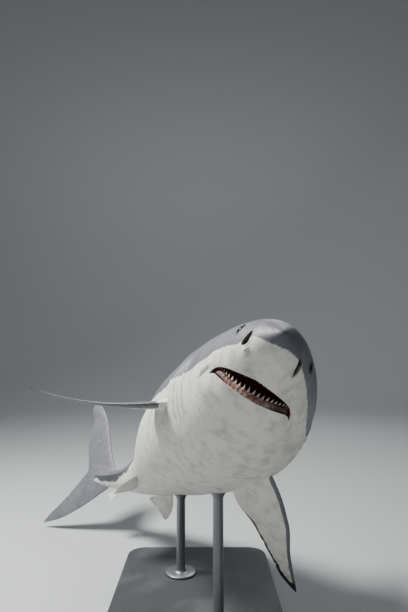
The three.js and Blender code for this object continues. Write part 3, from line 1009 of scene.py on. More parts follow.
@dataclass
class PairedFin(Fin):
    """A fin that springs from the side, droops, sweeps back and is twisted about its length."""

    side: int = RIGHT
    root: Triple = (0.0, 0.0, 0.0)
    length: float = 1.0
    droop: float = 0.0
    sweep: float = 0.0
    pitch: float = 0.0
    curl: float = 0.0
    thinning: float = 0.35

    def shell(self) -> Shell:
        """Makes the fin.

        Returns:
            Its closed surface.
        """
        d, w, p = (math.radians(v) for v in (self.droop, self.sweep, self.pitch))
        span = np.array([math.sin(w), self.side * math.cos(w) * math.cos(d), -math.cos(w) * math.sin(d)])
        level = unit(np.array([1.0, 0, 0]) - span * span[0])
        above = np.cross(level, span) * self.side
        chord = level * math.cos(p) - above * math.sin(p)
        over = np.cross(chord, span)
        points, values = [], []
        for u in (1 - (1 - np.linspace(0, 1, self.rows)) ** 1.2)[:-1]:
            front, back = (float(v) for v in self.edges(np.array(u)))
            thickness = self.thickness * (1 - self.thinning * u)
            along, half, share, face = self.section(front, back, thickness)
            lift = half + self.side * self.curl * u * u
            row = np.array(self.root) + span * u * self.length
            points.append(row + along[:, None] * chord + lift[:, None] * over)
            held = np.full_like(along, u)
            values.append(np.stack([held, share, face * self.side, np.full_like(along, back - front)], -1))
        front, back = (float(v) for v in self.edges(np.array(1.0)))
        tip = np.array(self.root) + span * self.length + chord * (front + back) / 2
        tip = tip + over * self.side * self.curl
        return finish_fin(self.number, [points[0].mean(0, keepdims=True), *points, tip[None]], values)


def finish_fin(number: Part, rows: list[Array], values: list[Array]) -> Shell:
    """Closes a fin and names the values at its points.

    Args:
        number: The fin's number, which is kept at its points.
        rows: Its root, its rings and its tip.
        values: For each ring: how far along the fin, the share of the chord, the face and the chord.

    Returns:
        The fin as a shell.
    """
    points, faces = loft(rows)
    held = np.vstack([values[0].mean(0, keepdims=True), *values, values[-1].mean(0, keepdims=True)])
    held[-1, 0] = 1
    names = ("along", "share", "face", "chord")
    made = {name: held[:, k] for k, name in enumerate(names)}
    made["part"] = np.full(len(points), float(number))
    made["slit"] = np.zeros(len(points))
    return Shell(points, faces, made)


PECTORAL_LEAD = Curve((
    (0, -3.9), (0.15, -4.05), (0.35, -3.2), (0.6, -0.3), (0.8, 1.9), (0.93, 3.5), (1, 4.55),
))
PECTORAL_TRAIL = Curve((
    (0, 3.5), (0.1, 4.4), (0.2, 4.65), (0.4, 3.4), (0.65, 3.75), (0.85, 4.7), (1, 4.75),
))
PELVIC_LEAD = Curve(((0, -2.5), (0.5, -1.5), (0.85, 0.1), (1, 1.2)))
PELVIC_TRAIL = Curve(((0, 2.4), (0.2, 2.8), (0.36, 4.9), (0.5, 4.3), (0.75, 2.8), (1, 1.5)))


def all_fins() -> list[Fin]:
    """Lists every fin of the shark.

    Returns:
        The upright fins from the tail forwards and down, then the paired ones.
    """
    caudal = UprightFin(
        "caudal",
        Curve((
            (-13.8, 96.3), (-11.7, 93), (-7.8, 89.2), (-3.8, 85.5), (-1.3, 82.9), (0, 82.5), (1.5, 82.8),
            (4.4, 85.3), (9.1, 89.7), (13.7, 94.5), (16.2, 98.7),
        )),
        Curve((
            (-13.8, 96.6), (-11.6, 95.9), (-9.1, 94.7), (-4.6, 93), (-1, 91.8), (0, 91.5), (1, 91.9),
            (5.1, 94.8), (10.7, 96.9), (12.2, 97.5), (12.8, 98.5), (13.8, 99.4), (15.9, 99.2), (16.2, 98.9),
        )),
        0.09, Part.CAUDAL, low=-13.8, high=16.2, rows=260, chord_steps=56,
        notches=(Notch(7.6, 0.35, 0.12), Notch(-6.4, 0.3, 0.15), Notch(3.1, 0.18, 0.1)),
    )
    dorsal = UprightFin(
        "first_dorsal",
        Curve(((7.4, 34.2), (9.3, 35.2), (12, 37.3), (15, 39.7), (18, 42.1), (19.5, 43.6), (20, 44.6))),
        Curve((
            (7.4, 43.6), (9.2, 44.2), (9.8, 46.4), (10.3, 46.3), (11, 45.3), (13, 44.5), (16, 44.4),
            (18.5, 45), (19.5, 45.2), (20, 44.8),
        )),
        0.12, Part.DORSAL, low=7.4, high=20, rows=170, chord_steps=60,
        notches=(Notch(12.1, 0.22, 0.09), Notch(14.6, 0.34, 0.12), Notch(16.9, 0.2, 0.08)),
    )
    second = UprightFin(
        "second_dorsal",
        Curve(((2, 74), (3.5, 74.6), (4.8, 75.7), (5.5, 76.8))),
        Curve(((2, 76.4), (3.4, 76.8), (3.8, 78.2), (4.2, 77.9), (5, 77.1), (5.5, 76.95))),
        0.14, Part.SECOND_DORSAL, low=2, high=5.5, rows=60, chord_steps=30,
    )
    anal = UprightFin(
        "anal",
        Curve(((-4.8, 81.2), (-4.2, 80.2), (-3, 79), (-1.4, 78.4))),
        Curve(((-4.8, 81.35), (-4.3, 81.5), (-3.5, 82.4), (-3.1, 82.6), (-2.7, 81.2), (-1.4, 80.8))),
        0.14, Part.ANAL, low=-1.4, high=-4.8, rows=60, chord_steps=30,
    )
    pectoral = dict(lead=PECTORAL_LEAD, trail=PECTORAL_TRAIL, thickness=0.115, rows=200, chord_steps=60)
    paired = [
        PairedFin(
            "pectoral_right", number=Part.PECTORAL_RIGHT, side=RIGHT, root=(27.4, 7.2, -3.3),
            length=20.2, droop=39.1, sweep=12.1, pitch=-8.2, curl=5.5,
            notches=(Notch(0.58, 0.2, 0.012),), **pectoral,
        ),
        PairedFin(
            "pectoral_left", number=Part.PECTORAL_LEFT, side=LEFT, root=(27.4, -5.55, -5.55),
            length=21.5, droop=35.4, sweep=14, pitch=21.7, curl=5.4,
            notches=(Notch(0.52, 0.16, 0.012), Notch(0.71, 0.2, 0.01)), **pectoral,
        ),
    ]
    paired += [
        PairedFin(
            name, PELVIC_LEAD, PELVIC_TRAIL, 0.11, number, rows=80, chord_steps=34, side=side,
            root=(63.5, side * 2.6, -4.3), length=6, droop=44, sweep=26, pitch=10,
        )
        for name, number, side in (
            ("pelvic_right", Part.PELVIC_RIGHT, RIGHT), ("pelvic_left", Part.PELVIC_LEFT, LEFT),
        )
    ]
    return [caudal, dorsal, second, anal, *paired]


# ---- markings ----


@dataclass
class Markings:
    """Where the grey back ends, which edges of the fins are black, and a wider grey band under the right
    pectoral fin's leading edge that is partly painted shade.
    """

    right_edge: Curve = Curve((
        (0, -1.2), (1.2, -1.05), (2.2, -0.7), (3.2, -1.05), (5.4, -1.17), (7.1, -1.0), (9.3, -1.1),
        (11.1, -1.45), (13, -1.7), (15, -1.95), (17.2, -2.3), (19.6, -2.35), (24.6, -1.8), (30, -1.95),
        (38, -1.7), (47, -2.3), (55, -0.7), (61, -1.9), (70, -0.5), (78, -0.9), (88, -0.6),
    ))
    left_edge: Curve = Curve((
        (0, -1.2), (1.2, -0.85), (2.2, -0.67), (4.1, -0.55), (6.3, -0.6), (9, -0.82), (11, -1.0),
        (14.2, -1.3), (17.6, -1.2), (20.9, -1.6), (25, -2.5), (31, -2.8), (39, -1.9), (46, -2.4),
        (54, -0.9), (62, -1.7), (70, -0.6), (78, -0.9), (88, -0.6),
    ))
    sure: float = 3.6
    lead_band: float = 0.5
    right_lead_band_and_shade: float = 2.4
    lead_slope: float = 4.0
    right_root: float = 0.08
    root_blend: float = 0.08
    upright_grey: float = 1.6
    tail_grey: float = 1.4
    no_margin: float = -3.0

    def back(self, place: Array, value: dict[str, Array]) -> Array:
        """How far each point lies above the edge of the grey.

        Args:
            place: The skin's points, laid out straight.
            value: The values kept at the points.

        Returns:
            Distances in percent, less than nothing where the skin is white.
        """
        x, y, z = place.T
        share = smoothstep(y, -1.0, 1.0)
        edge = self.left_edge(x) * (1 - share) + self.right_edge(x) * share
        made = z - edge
        part, face = np.round(value["part"]), value["face"]
        from_lead = value["share"] * value["chord"]
        from_trail = (1 - value["share"]) * value["chord"]
        # The right pectoral's underside gets a wider grey leading band: the narrow band is its own colour,
        # the extra width is painted shade.
        lead = np.where(part == Part.PECTORAL_RIGHT, self.right_lead_band_and_shade, self.lead_band)
        under = np.maximum((lead - from_lead) * self.lead_slope, -self.sure)
        on_fin = np.where(face > 0, self.sure, under)
        on_fin = np.where(part >= Part.PELVIC_RIGHT, face * self.sure, on_fin)
        clear = np.where(part == Part.PECTORAL_RIGHT, self.right_root, 0.0)
        root = smoothstep(value["along"], clear, clear + self.root_blend)
        paired = (part >= Part.PECTORAL_RIGHT) & (part <= Part.PELVIC_LEFT)
        made = np.where(paired, on_fin * root + made * (1 - root), made)
        upright = (part == Part.DORSAL) | (part == Part.SECOND_DORSAL)
        made = np.where(upright, self.upright_grey, made)
        made = np.where(part == Part.CAUDAL, self.tail_grey, made)
        return np.where(part == Part.ANAL, -1.0 + 0.9 * (from_trail < 0.4), made)

    def margin(self, value: dict[str, Array]) -> Array:
        """How far each point lies inside the black edge and tip of a pectoral fin.

        Args:
            value: The values kept at the points.

        Returns:
            More than nothing inside, less than nothing outside.
        """
        part, along = np.round(value["part"]), value["along"]
        from_trail = (1 - value["share"]) * value["chord"]
        wide = 0.5 * smoothstep(along, 0.2, 0.36) + 0.6 * smoothstep(along, 0.6, 0.9)
        edge = (wide - from_trail) / 0.5
        tip = (along - 0.87) / 0.06
        under = np.where(value["face"] < 0, np.maximum(edge, tip), tip - 0.6)
        pectoral = (part == Part.PECTORAL_RIGHT) | (part == Part.PECTORAL_LEFT)
        elsewhere = np.where(part == Part.CAUDAL, -1.2 - from_trail, self.no_margin)
        return np.where(pectoral, np.clip(under, self.no_margin, -self.no_margin), elsewhere)


# ---- the skin ----


@dataclass
class SharkSkin:
    """The one skin of the whole shark, with its mouth, gills and fins."""

    trunk: Trunk
    mouth: Mouth
    relief: Relief
    spine: Spine
    markings: Markings
    lip_reach: float = 0.5
    root_reach: float = 0.75
    flare: float = 0.22
    flare_reach: float = 0.7
    lip_rounds: int = 14
    root_rounds: int = 22
    fin_numbers: Pair = (0.5, 15.0)
    lining_edge: Pair = (0.05, 0.3)
    kept: tuple[str, ...] = ("part", "along", "face", "share", "chord", "slit")
    replaced: tuple[str, ...] = (
        "head", "lower_jaw", "gill_region", "trunk_front", "trunk_middle", "trunk_rear", "tail_stalk",
        "caudal_fin_upper", "caudal_fin_lower", "first_dorsal_fin", "second_dorsal_fin", "anal_fin",
        "pectoral_fin_left", "pectoral_fin_right", "pelvic_fin_left", "pelvic_fin_right",
    )

    def body(self) -> Shell:
        """Makes the trunk with its hanging jaw and all of its relief.

        Returns:
            Its closed surface.
        """
        x = self.trunk.stations()
        angle = self.trunk.angles(x)
        grid = self.trunk.skin(x[:, None], angle)
        lowered = self.mouth.hang(grid[..., 0], grid[..., 1]) * smoothstep(-grid[..., 2], 0.0, 0.6)
        grid[..., 2] -= lowered
        along = np.gradient(grid, axis=0)
        around = (np.roll(grid, -1, axis=1) - np.roll(grid, 1, axis=1)) / 2
        out = unit(np.cross(around, along))
        outwards = np.sign((out * (grid - np.array([1, 0, 0]) * grid[..., :1])).sum(-1, keepdims=True))
        out = out * np.where(outwards == 0, 1, outwards)
        sunk, slit = self.relief.gills(grid, angle)
        slot, dark = self.relief.nostrils(grid)
        socket, eye_shade = self.relief.eyes(grid)
        # Painted shade from the gills, nostrils and eye sockets, kept at the points and darkened into the
        # skin's colour.
        slit = np.maximum(slit, np.maximum(dark, eye_shade))
        moved = sunk + slot + socket + self.relief.folds(grid)
        grid = grid + out * moved[..., None]
        rows = [np.array([[0.0, 0, 0.1]]), *grid, np.array([[self.trunk.end + 0.6, 0, 0]])]
        points, faces = loft(rows)
        count = len(points)
        flat = {name: np.zeros(count) for name in ("part", "along", "face")}
        flat["share"], flat["chord"] = np.full(count, 0.5), np.full(count, 4.0)
        flat["slit"] = np.concatenate([[0], slit.ravel(), [0]])
        return Shell(points, faces, flat)

    def fins(self) -> Shell:
        """Makes all of the fins together, each a little thicker where it meets the body.

        Returns:
            Their closed surfaces as one shell.
        """
        grown = []
        for fin in all_fins():
            shell = fin.shell()
            depth = self.trunk.depth_out(shell.points)
            middle = shell.values["face"] * np.sin(math.pi * shell.values["share"])
            way = np.array([0.0, 1.0, 0.0])
            if isinstance(fin, PairedFin):
                droop = math.radians(fin.droop)
                way = np.array([0.0, fin.side * math.sin(droop), math.cos(droop)])
            added = self.flare * bump(np.maximum(depth, 0), self.flare_reach) * middle
            grown.append(Shell(shell.points + added[:, None] * way, shell.faces, shell.values))
            LOG.info("fin %s: %d points", fin.name, len(shell.points))
        return gather(grown, self.kept)

    def build(self, dress: Callable[[], Material]) -> Piece:
        """Joins, carves, evens out, marks and poses the skin.

        Args:
            dress: Makes the skin's material.

        Returns:
            The skin, in place.
        """
        body, hollow, fins = self.body(), self.mouth.hollow(), self.fins()
        hollow.values = {"part": np.full(len(hollow.points), float(Part.MOUTH))}
        skin = make_mesh("shark_skin", body.points, body.faces, body.values)
        join(skin, make_mesh("hollow", hollow.points, hollow.faces, hollow.values), Joining.CUT)
        join(skin, make_mesh("fins", fins.points, fins.faces, fins.values), Joining.ADD)
        mesh = skin.data
        LOG.info("skin: %d points, %d faces", len(mesh.vertices), len(mesh.polygons))
        place = read_out(mesh.vertices, "co", 3).astype(float)
        edges = read_out(mesh.edges, "vertices", 2, np.int32)
        value = {name: read_out(mesh.attributes[name].data, "value").astype(float) for name in self.kept}
        place = self.even_out(place, edges, value["part"])
        lips = np.vstack(self.mouth.lip_lines())
        from_lip = distance_to(lips, place, 2 * self.lining_edge[1])
        back = self.markings.back(place, value)
        margin = self.markings.margin(value)
        is_lining = (np.abs(value["part"] - Part.MOUTH) < 3).astype(float)
        lining = is_lining * smoothstep(from_lip, *self.lining_edge)
        for name in self.kept:
            mesh.attributes.remove(mesh.attributes[name])
        held = {"place": place, "back": back, "margin": margin, "lining": lining, "slit": value["slit"]}
        for name, kept in held.items():
            write_value(mesh, name, kept)
        mesh.vertices.foreach_set("co", self.spine.pose(place).astype(np.float32).ravel())
        mesh.update()
        mesh.polygons.foreach_set("use_smooth", np.ones(len(mesh.polygons), bool))
        mesh.materials.clear()
        mesh.materials.append(dress())
        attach(skin, BODY)
        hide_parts(*self.replaced)
        return skin

    def even_out(self, place: Array, edges: Array, part: Array) -> Array:
        """Rounds the lips and blends the fins into the body.

        Args:
            place: The skin's points, laid out straight.
            edges: Pairs of neighbouring point numbers.
            part: The number of the part that each point is on.

        Returns:
            The moved points.
        """
        lips = np.vstack(self.mouth.lip_lines())
        weight = bump(distance_to(lips, place, self.lip_reach), self.lip_reach * 0.45)
        place = relax(place, edges, weight, self.lip_rounds)
        is_fin = (part > self.fin_numbers[0]) & (part < self.fin_numbers[1])
        seam = edges[is_fin[edges[:, 0]] != is_fin[edges[:, 1]]]
        line = place[np.unique(seam)]
        near = distance_to(line, place, self.root_reach)
        weight = bump(near, self.root_reach * 0.5)
        return relax(place, edges, weight, self.root_rounds)


# ---- teeth, gums and eyes ----


class Jaw(Enum):
    """Which jaw a row of teeth is in."""

    UPPER = "upper"
    LOWER = "lower"


@dataclass
class ToothRow:
    """One jaw's teeth and the gum that they stand in."""

    mouth: Mouth
    jaw: Jaw
    a_side: int
    height: float
    width: float
    inset: float
    gum_rise: float
    gum_half_width: float
    gum_half_height: float
    root: float
    lean: float
    last_tooth: float = 84.0
    last_gum: float = 88.0
    gum_end: float = 89.0
    gum_steps: int = 420
    gum_sides: int = 20
    gum_swell: float = 0.14
    tooth_sides: int = 12
    tooth_rings: int = 15
    buried: float = 0.35
    saw: float = 0.035
    bent: float = 0.14
    outward: float = 0.05
    stoutness: float = 0.19
    first_seed: int = 40

    def frame_at(self, turn: Array) -> tuple[Array, Array, Array]:
        """The row's line at some angles.

        Args:
            turn: Angles about the middle of the mouth.

        Returns:
            Places on the line, directions out of the mouth, and directions along the line.
        """
        outline = self.mouth.upper if self.jaw is Jaw.UPPER else self.mouth.lower
        level = self.mouth.lip_height if self.jaw is Jaw.UPPER else self.mouth.rim_height
        x, y = outline(turn, self.inset)
        nudge = 1e-3
        x2, y2 = outline(turn + nudge, self.inset)
        along = unit(np.stack([x2 - x, y2 - y, np.zeros_like(x)], -1))
        out = np.stack([-np.abs(along[:, 1]), np.sign(turn) * np.abs(along[:, 0]), np.zeros_like(x)], -1)
        place = np.stack([x, y, level(turn) + self.gum_rise], -1)
        return place, unit(out), along

    def turns(self) -> Array:
        """Spreads the teeth evenly along the line.

        Returns:
            The angle of each tooth.
        """
        fine = np.linspace(0, math.radians(self.last_tooth), 400)
        place, _, _ = self.frame_at(np.maximum(fine, 1e-4))
        run = np.concatenate([[0], np.cumsum(np.linalg.norm(np.diff(place, axis=0), axis=1))])
        wanted = (np.arange(self.a_side) + 0.5) / self.a_side * run[-1]
        found = np.interp(wanted, run, fine)
        return np.concatenate([-found[::-1], found])

    def tooth(self, place: Array, out: Array, along: Array, turn: float, seed: int) -> Shell:
        """Makes one tooth: a broad flat point, saw-edged, bent a little towards the corner of the mouth.

        Args:
            place: Where it stands on the row's line.
            out: The direction out of the mouth.
            along: The direction along the line.
            turn: Its angle about the middle of the mouth.
            seed: What its own small differences are drawn from.

        Returns:
            Its closed surface.
        """
        draw = np.random.default_rng(seed)
        down = -1.0 if self.jaw is Jaw.UPPER else 1.0
        place = place + np.array([0, 0, down * self.root])
        shrink = 1 - 0.55 * (abs(turn) / math.radians(self.last_tooth)) ** 1.6
        tall = self.height * shrink * draw.uniform(0.9, 1.08)
        wide = self.width * (0.55 + 0.45 * shrink) * draw.uniform(0.95, 1.05)
        axis = unit(np.array([0, 0, down]) + out * self.lean + along * draw.uniform(-0.06, 0.06))
        back = along * math.copysign(1, turn if turn else 1)
        around = full_turn(self.tooth_sides)
        flat = np.where(np.sin(around) > 0, 0.5, 1.0)
        power = 0.85 if self.jaw is Jaw.UPPER else 1.25
        rings = []
        heights = np.linspace(-self.buried, 1, self.tooth_rings)
        for index, v in enumerate(heights[:-1]):
            narrowing = max(1 - max(v, 0), 0.02) ** power
            half = wide / 2 * narrowing * (1 + self.saw * (index % 2))
            thick = self.stoutness * wide * (0.3 + 0.7 * narrowing)
            centre = place + axis * v * tall + back * self.bent * tall * max(v, 0) ** 2
            centre = centre + out * self.outward * v * tall
            ring = centre + np.cos(around)[:, None] * half * along
            rings.append(ring - (np.sin(around) * thick * flat)[:, None] * out)
        foot = place + axis * heights[0] * tall
        tip = place + axis * tall + back * self.bent * tall + out * self.outward * tall
        return Shell(*loft([foot[None], *rings, tip[None]]))

    def gum(self) -> Shell:
        """Makes a soft ridge along the jaw, swollen round each tooth.

        Returns:
            Its closed surface.
        """
        end = math.radians(self.last_gum)
        turn = np.linspace(-end, end, self.gum_steps)
        place, out, _ = self.frame_at(np.where(turn == 0, 1e-4, turn))
        taper = np.sqrt(np.clip(1 - (np.abs(turn) / math.radians(self.gum_end)) ** 6, 0, 1))
        nearest = np.abs(turn[:, None] - self.turns()[None, :]).min(1)
        swell = 1 + self.gum_swell * bump(nearest, 0.035)
        around = full_turn(self.gum_sides)
        rings = []
        for k in range(len(turn)):
            side = np.cos(around)[:, None] * out[k] * self.gum_half_width * taper[k] * swell[k]
            rise = np.sin(around)[:, None] * np.array([0, 0, self.gum_half_height * taper[k] * swell[k]])
            rings.append(place[k] + side + rise)
        first, last = rings[0].mean(0, keepdims=True), rings[-1].mean(0, keepdims=True)
        return Shell(*loft([first, *rings, last]))

    def build(self, spine: Spine, enamel: Material, flesh: Material) -> list[Piece]:
        """Makes the row.

        Args:
            spine: What poses it.
            enamel: The teeth's material.
            flesh: The gum's material.

        Returns:
            The teeth and the gum, in place.
        """
        turns = self.turns()
        place, out, along = self.frame_at(turns)
        teeth = gather([
            self.tooth(place[index], out[index], along[index], float(turn), self.first_seed + index)
            for index, turn in enumerate(turns)
        ])
        made = []
        for name, shell, finish, slot in (
            (f"teeth_{self.jaw.value}", teeth, enamel, "teeth"),
            (f"gum_{self.jaw.value}", self.gum(), flesh, "mouth_lining"),
        ):
            piece = make_mesh(name, spine.pose(shell.points), shell.faces, {"place": shell.points})
            piece.data.materials.append(finish)
            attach(piece, BODY)
            made.append(piece)
        return made


@dataclass
class Eyes:
    """Two black, wet eyeballs."""

    radius: float = 0.62
    rings: int = 48

    def ball(self) -> tuple[Array, list]:
        """Makes a round ball.

        Returns:
            The points, one unit from the middle, and the faces.
        """
        around = full_turn(2 * self.rings)
        rows = [np.array([[0.0, 0, 1]])]
        for a in np.linspace(0, math.pi, self.rings + 2)[1:-1]:
            flat = np.full(len(around), math.cos(a))
            rows.append(np.stack([np.cos(around) * math.sin(a), np.sin(around) * math.sin(a), flat], -1))
        rows.append(np.array([[0.0, 0, -1]]))
        return loft(rows)

    def build(self, finish: Material) -> list[Piece]:
        """Makes an eyeball where each node of the frame has one.

        Args:
            finish: Their material.

        Returns:
            The two eyeballs, in place.
        """
        made = []
        points, faces = self.ball()
        for name in ("eye_left", "eye_right"):
            low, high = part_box(name)
            centre = np.array((low + high) / 2)
            ball = make_mesh(f"{name}ball", centre + points * self.radius * PERCENT, faces)
            ball.data.materials.append(finish)
            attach(ball, BODY)
            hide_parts(name)
            made.append(ball)
        return made


# ---- finishes ----


def paint(code: str) -> tuple[float, float, float, float]:
    """Turns a web colour into one for a shader's socket.

    Args:
        code: The web colour.

    Returns:
        Red, green and blue as light, and an alpha of 1.
    """
    parts = [int(code[i:i + 2], 16) / 255 for i in (1, 3, 5)]
    linear = [v / 12.92 if v <= 0.04045 else ((v + 0.055) / 1.055) ** 2.4 for v in parts]
    return (*linear, 1.0)


class Graph:
    """Short calls that add shader nodes to one tree."""

    def __init__(self, tree: bpy.types.NodeTree) -> None:
        """Keeps the tree that the nodes go in."""
        self.tree = tree

    def add(self, kind: str, **settings: object) -> bpy.types.Node:
        """Adds a node.

        Args:
            kind: The node's type.
            settings: Its properties.

        Returns:
            The node.
        """
        node = self.tree.nodes.new(kind)
        for key, value in settings.items():
            setattr(node, key, value)
        return node

    def put(self, socket: Socket, value: Given) -> None:
        """Gives a socket a value, or a link where the value is another socket.

        Args:
            socket: The socket.
            value: What it is given.
        """
        if isinstance(value, Socket):
            self.tree.links.new(value, socket)
        else:
            socket.default_value = value

    def math(self, operation: str, a: Given, b: Given = 0.0) -> Socket:
        """Adds a Math node.

        Args:
            operation: What it does.
            a: Its first value.
            b: Its second value.

        Returns:
            Its result.
        """
        node = self.add("ShaderNodeMath", operation=operation)
        self.put(node.inputs[0], a)
        self.put(node.inputs[1], b)
        return node.outputs[0]

    def times(self, a: Given, b: Given) -> Socket:
        """One value multiplied by another."""
        return self.math("MULTIPLY", a, b)

    def noise(self, vector: Given, scale: Given, detail: float = 3.0, roughness: float = 0.55) -> Socket:
        """Adds a Noise Texture.

        Args:
            vector: Where it is read.
            scale: How fine it is.
            detail: How many finer layers it has.
            roughness: How strong those layers are.

        Returns:
            Its value, about a half on average.
        """
        node = self.add("ShaderNodeTexNoise")
        self.put(node.inputs["Vector"], vector)
        self.put(node.inputs["Scale"], scale)
        node.inputs["Detail"].default_value = detail
        node.inputs["Roughness"].default_value = roughness
        return node.outputs["Fac"]

    def cells(self, vector: Given, scale: Given) -> Socket:
        """Adds a Voronoi Texture.

        Args:
            vector: Where it is read.
            scale: How fine it is.

        Returns:
            The distance to the middle of the nearest cell.
        """
        node = self.add("ShaderNodeTexVoronoi", feature="F1")
        self.put(node.inputs["Vector"], vector)
        self.put(node.inputs["Scale"], scale)
        return node.outputs[0]

    def ease(self, value: Given, low: Given, high: Given) -> Socket:
        """Adds a smooth step.

        Args:
            value: What is read.
            low: Where the step is 0.
            high: Where the step is 1.

        Returns:
            The step.
        """
        node = self.add("ShaderNodeMapRange", interpolation_type="SMOOTHSTEP")
        self.put(node.inputs["Value"], value)
        self.put(node.inputs["From Min"], low)
        self.put(node.inputs["From Max"], high)
        return node.outputs["Result"]

    def mix(self, share: Given, a: Given, b: Given) -> Socket:
        """Mixes two colours.

        Args:
            share: The second colour's share.
            a: The first colour.
            b: The second colour.

        Returns:
            The mixed colour.
        """
        node = self.add("ShaderNodeMix", data_type="RGBA")
        self.put(node.inputs["Factor"], share)
        self.put(node.inputs[6], a)
        self.put(node.inputs[7], b)
        return node.outputs[2]

    def value(self, name: str, vector: bool = False) -> Socket:
        """A value, or a vector, kept at the mesh's points."""
        node = self.add("ShaderNodeAttribute", attribute_name=name)
        return node.outputs["Vector" if vector else "Fac"]

    def parts(self, vector: Given) -> list[Socket]:
        """Takes a vector apart.

        Args:
            vector: The vector.

        Returns:
            Its three numbers.
        """
        node = self.add("ShaderNodeSeparateXYZ")
        self.put(node.inputs[0], vector)
        return list(node.outputs)

    def shared(self, group: bpy.types.NodeTree, **inputs: Given) -> Socket:
        """Places a shared group.

        Args:
            group: The group.
            inputs: What its inputs are given, by name.

        Returns:
            Its output.
        """
        node = self.add("ShaderNodeGroup", node_tree=group)
        for key, value in inputs.items():
            self.put(node.inputs[key], value)
        return node.outputs[0]

    def roughen(self, shader: bpy.types.Node, height: Given, strength: float, distance: float) -> None:
        """Bends a shader's normals to a height.

        Args:
            shader: The shader.
            height: The height.
            strength: How far the normals bend.
            distance: How far the height reaches, in metres.
        """
        node = self.add("ShaderNodeBump")
        node.inputs["Strength"].default_value = strength
        node.inputs["Distance"].default_value = distance
        self.put(node.inputs["Height"], height)
        self.put(shader.inputs["Normal"], node.outputs[0])


class SharedEffects:
    """The node groups that several finishes use, each built once."""

    def __init__(self) -> None:
        """Builds the groups."""
        self.blotches = self._blotches()
        self.grain = self._grain()
        self.scratches = self._scratches()

    @staticmethod
    def _group(
        name: str, numbers: dict[str, float], output: str
    ) -> tuple[bpy.types.NodeTree, Graph, dict[str, Socket], Socket]:
        """Starts a group with a vector input, number inputs and one output.

        Args:
            name: The group's name.
            numbers: The number inputs and their usual values.
            output: The output's name.

        Returns:
            The group, a graph on it, its inputs by name and its output.
        """
        group = bpy.data.node_groups.new(name, "ShaderNodeTree")
        group.interface.new_socket("Vector", in_out="INPUT", socket_type="NodeSocketVector")
        for key, usual in numbers.items():
            socket = group.interface.new_socket(key, in_out="INPUT", socket_type="NodeSocketFloat")
            socket.default_value = usual
        group.interface.new_socket(output, in_out="OUTPUT", socket_type="NodeSocketFloat")
        graph = Graph(group)
        start, end = graph.add("NodeGroupInput"), graph.add("NodeGroupOutput")
        return group, graph, {s.name: s for s in start.outputs if s.name}, end.inputs[0]

    def _blotches(self) -> bpy.types.NodeTree:
        """Builds soft patches.

        Returns:
            A group whose mask is 1 inside them.
        """
        numbers = {"Scale": 1.0, "Low": 0.45, "High": 0.6}
        group, graph, given, end = self._group("blotches", numbers, "Mask")
        coarse = graph.noise(given["Vector"], given["Scale"], 4, 0.6)
        graph.put(end, graph.ease(coarse, given["Low"], given["High"]))
        return group

    def _grain(self) -> bpy.types.NodeTree:
        """Builds a fine leathery or rolled texture.

        Returns:
            A group that gives its height.
        """
        group, graph, given, end = self._group("grain", {"Scale": 20.0}, "Height")
        fine = graph.noise(given["Vector"], given["Scale"], 2, 0.6)
        cells = graph.cells(given["Vector"], graph.times(given["Scale"], 0.6))
        graph.put(end, graph.math("SUBTRACT", fine, graph.times(cells, 0.5)))
        return group

    def _scratches(self) -> bpy.types.NodeTree:
        """Builds thin wandering lines in scattered patches.

        Returns:
            A group whose mask is 1 on them.
        """
        numbers = {"Scale": 1.0, "Width": 0.01, "Amount": 0.55}
        group, graph, given, end = self._group("scratches", numbers, "Mask")
        wander = graph.noise(given["Vector"], given["Scale"], 1.5, 0.4)
        off = graph.math("ABSOLUTE", graph.math("SUBTRACT", wander, 0.5))
        line = graph.math("SUBTRACT", 1.0, graph.ease(off, 0.0, given["Width"]))
        patch = graph.noise(given["Vector"], graph.times(given["Scale"], 0.7), 1.0, 0.5)
        there = graph.ease(patch, given["Amount"], graph.math("ADD", given["Amount"], 0.06))
        graph.put(end, graph.times(line, there))
        return group


def new_material(name: str) -> tuple[Material, Graph, bpy.types.Node]:
    """Starts a material with one Principled shader.

    Args:
        name: The material's name.

    Returns:
        The material, a graph on its nodes and its shader.
    """
    material = bpy.data.materials.new(name)
    material.use_nodes = True
    shader = material.node_tree.nodes["Principled BSDF"]
    return material, Graph(material.node_tree), shader


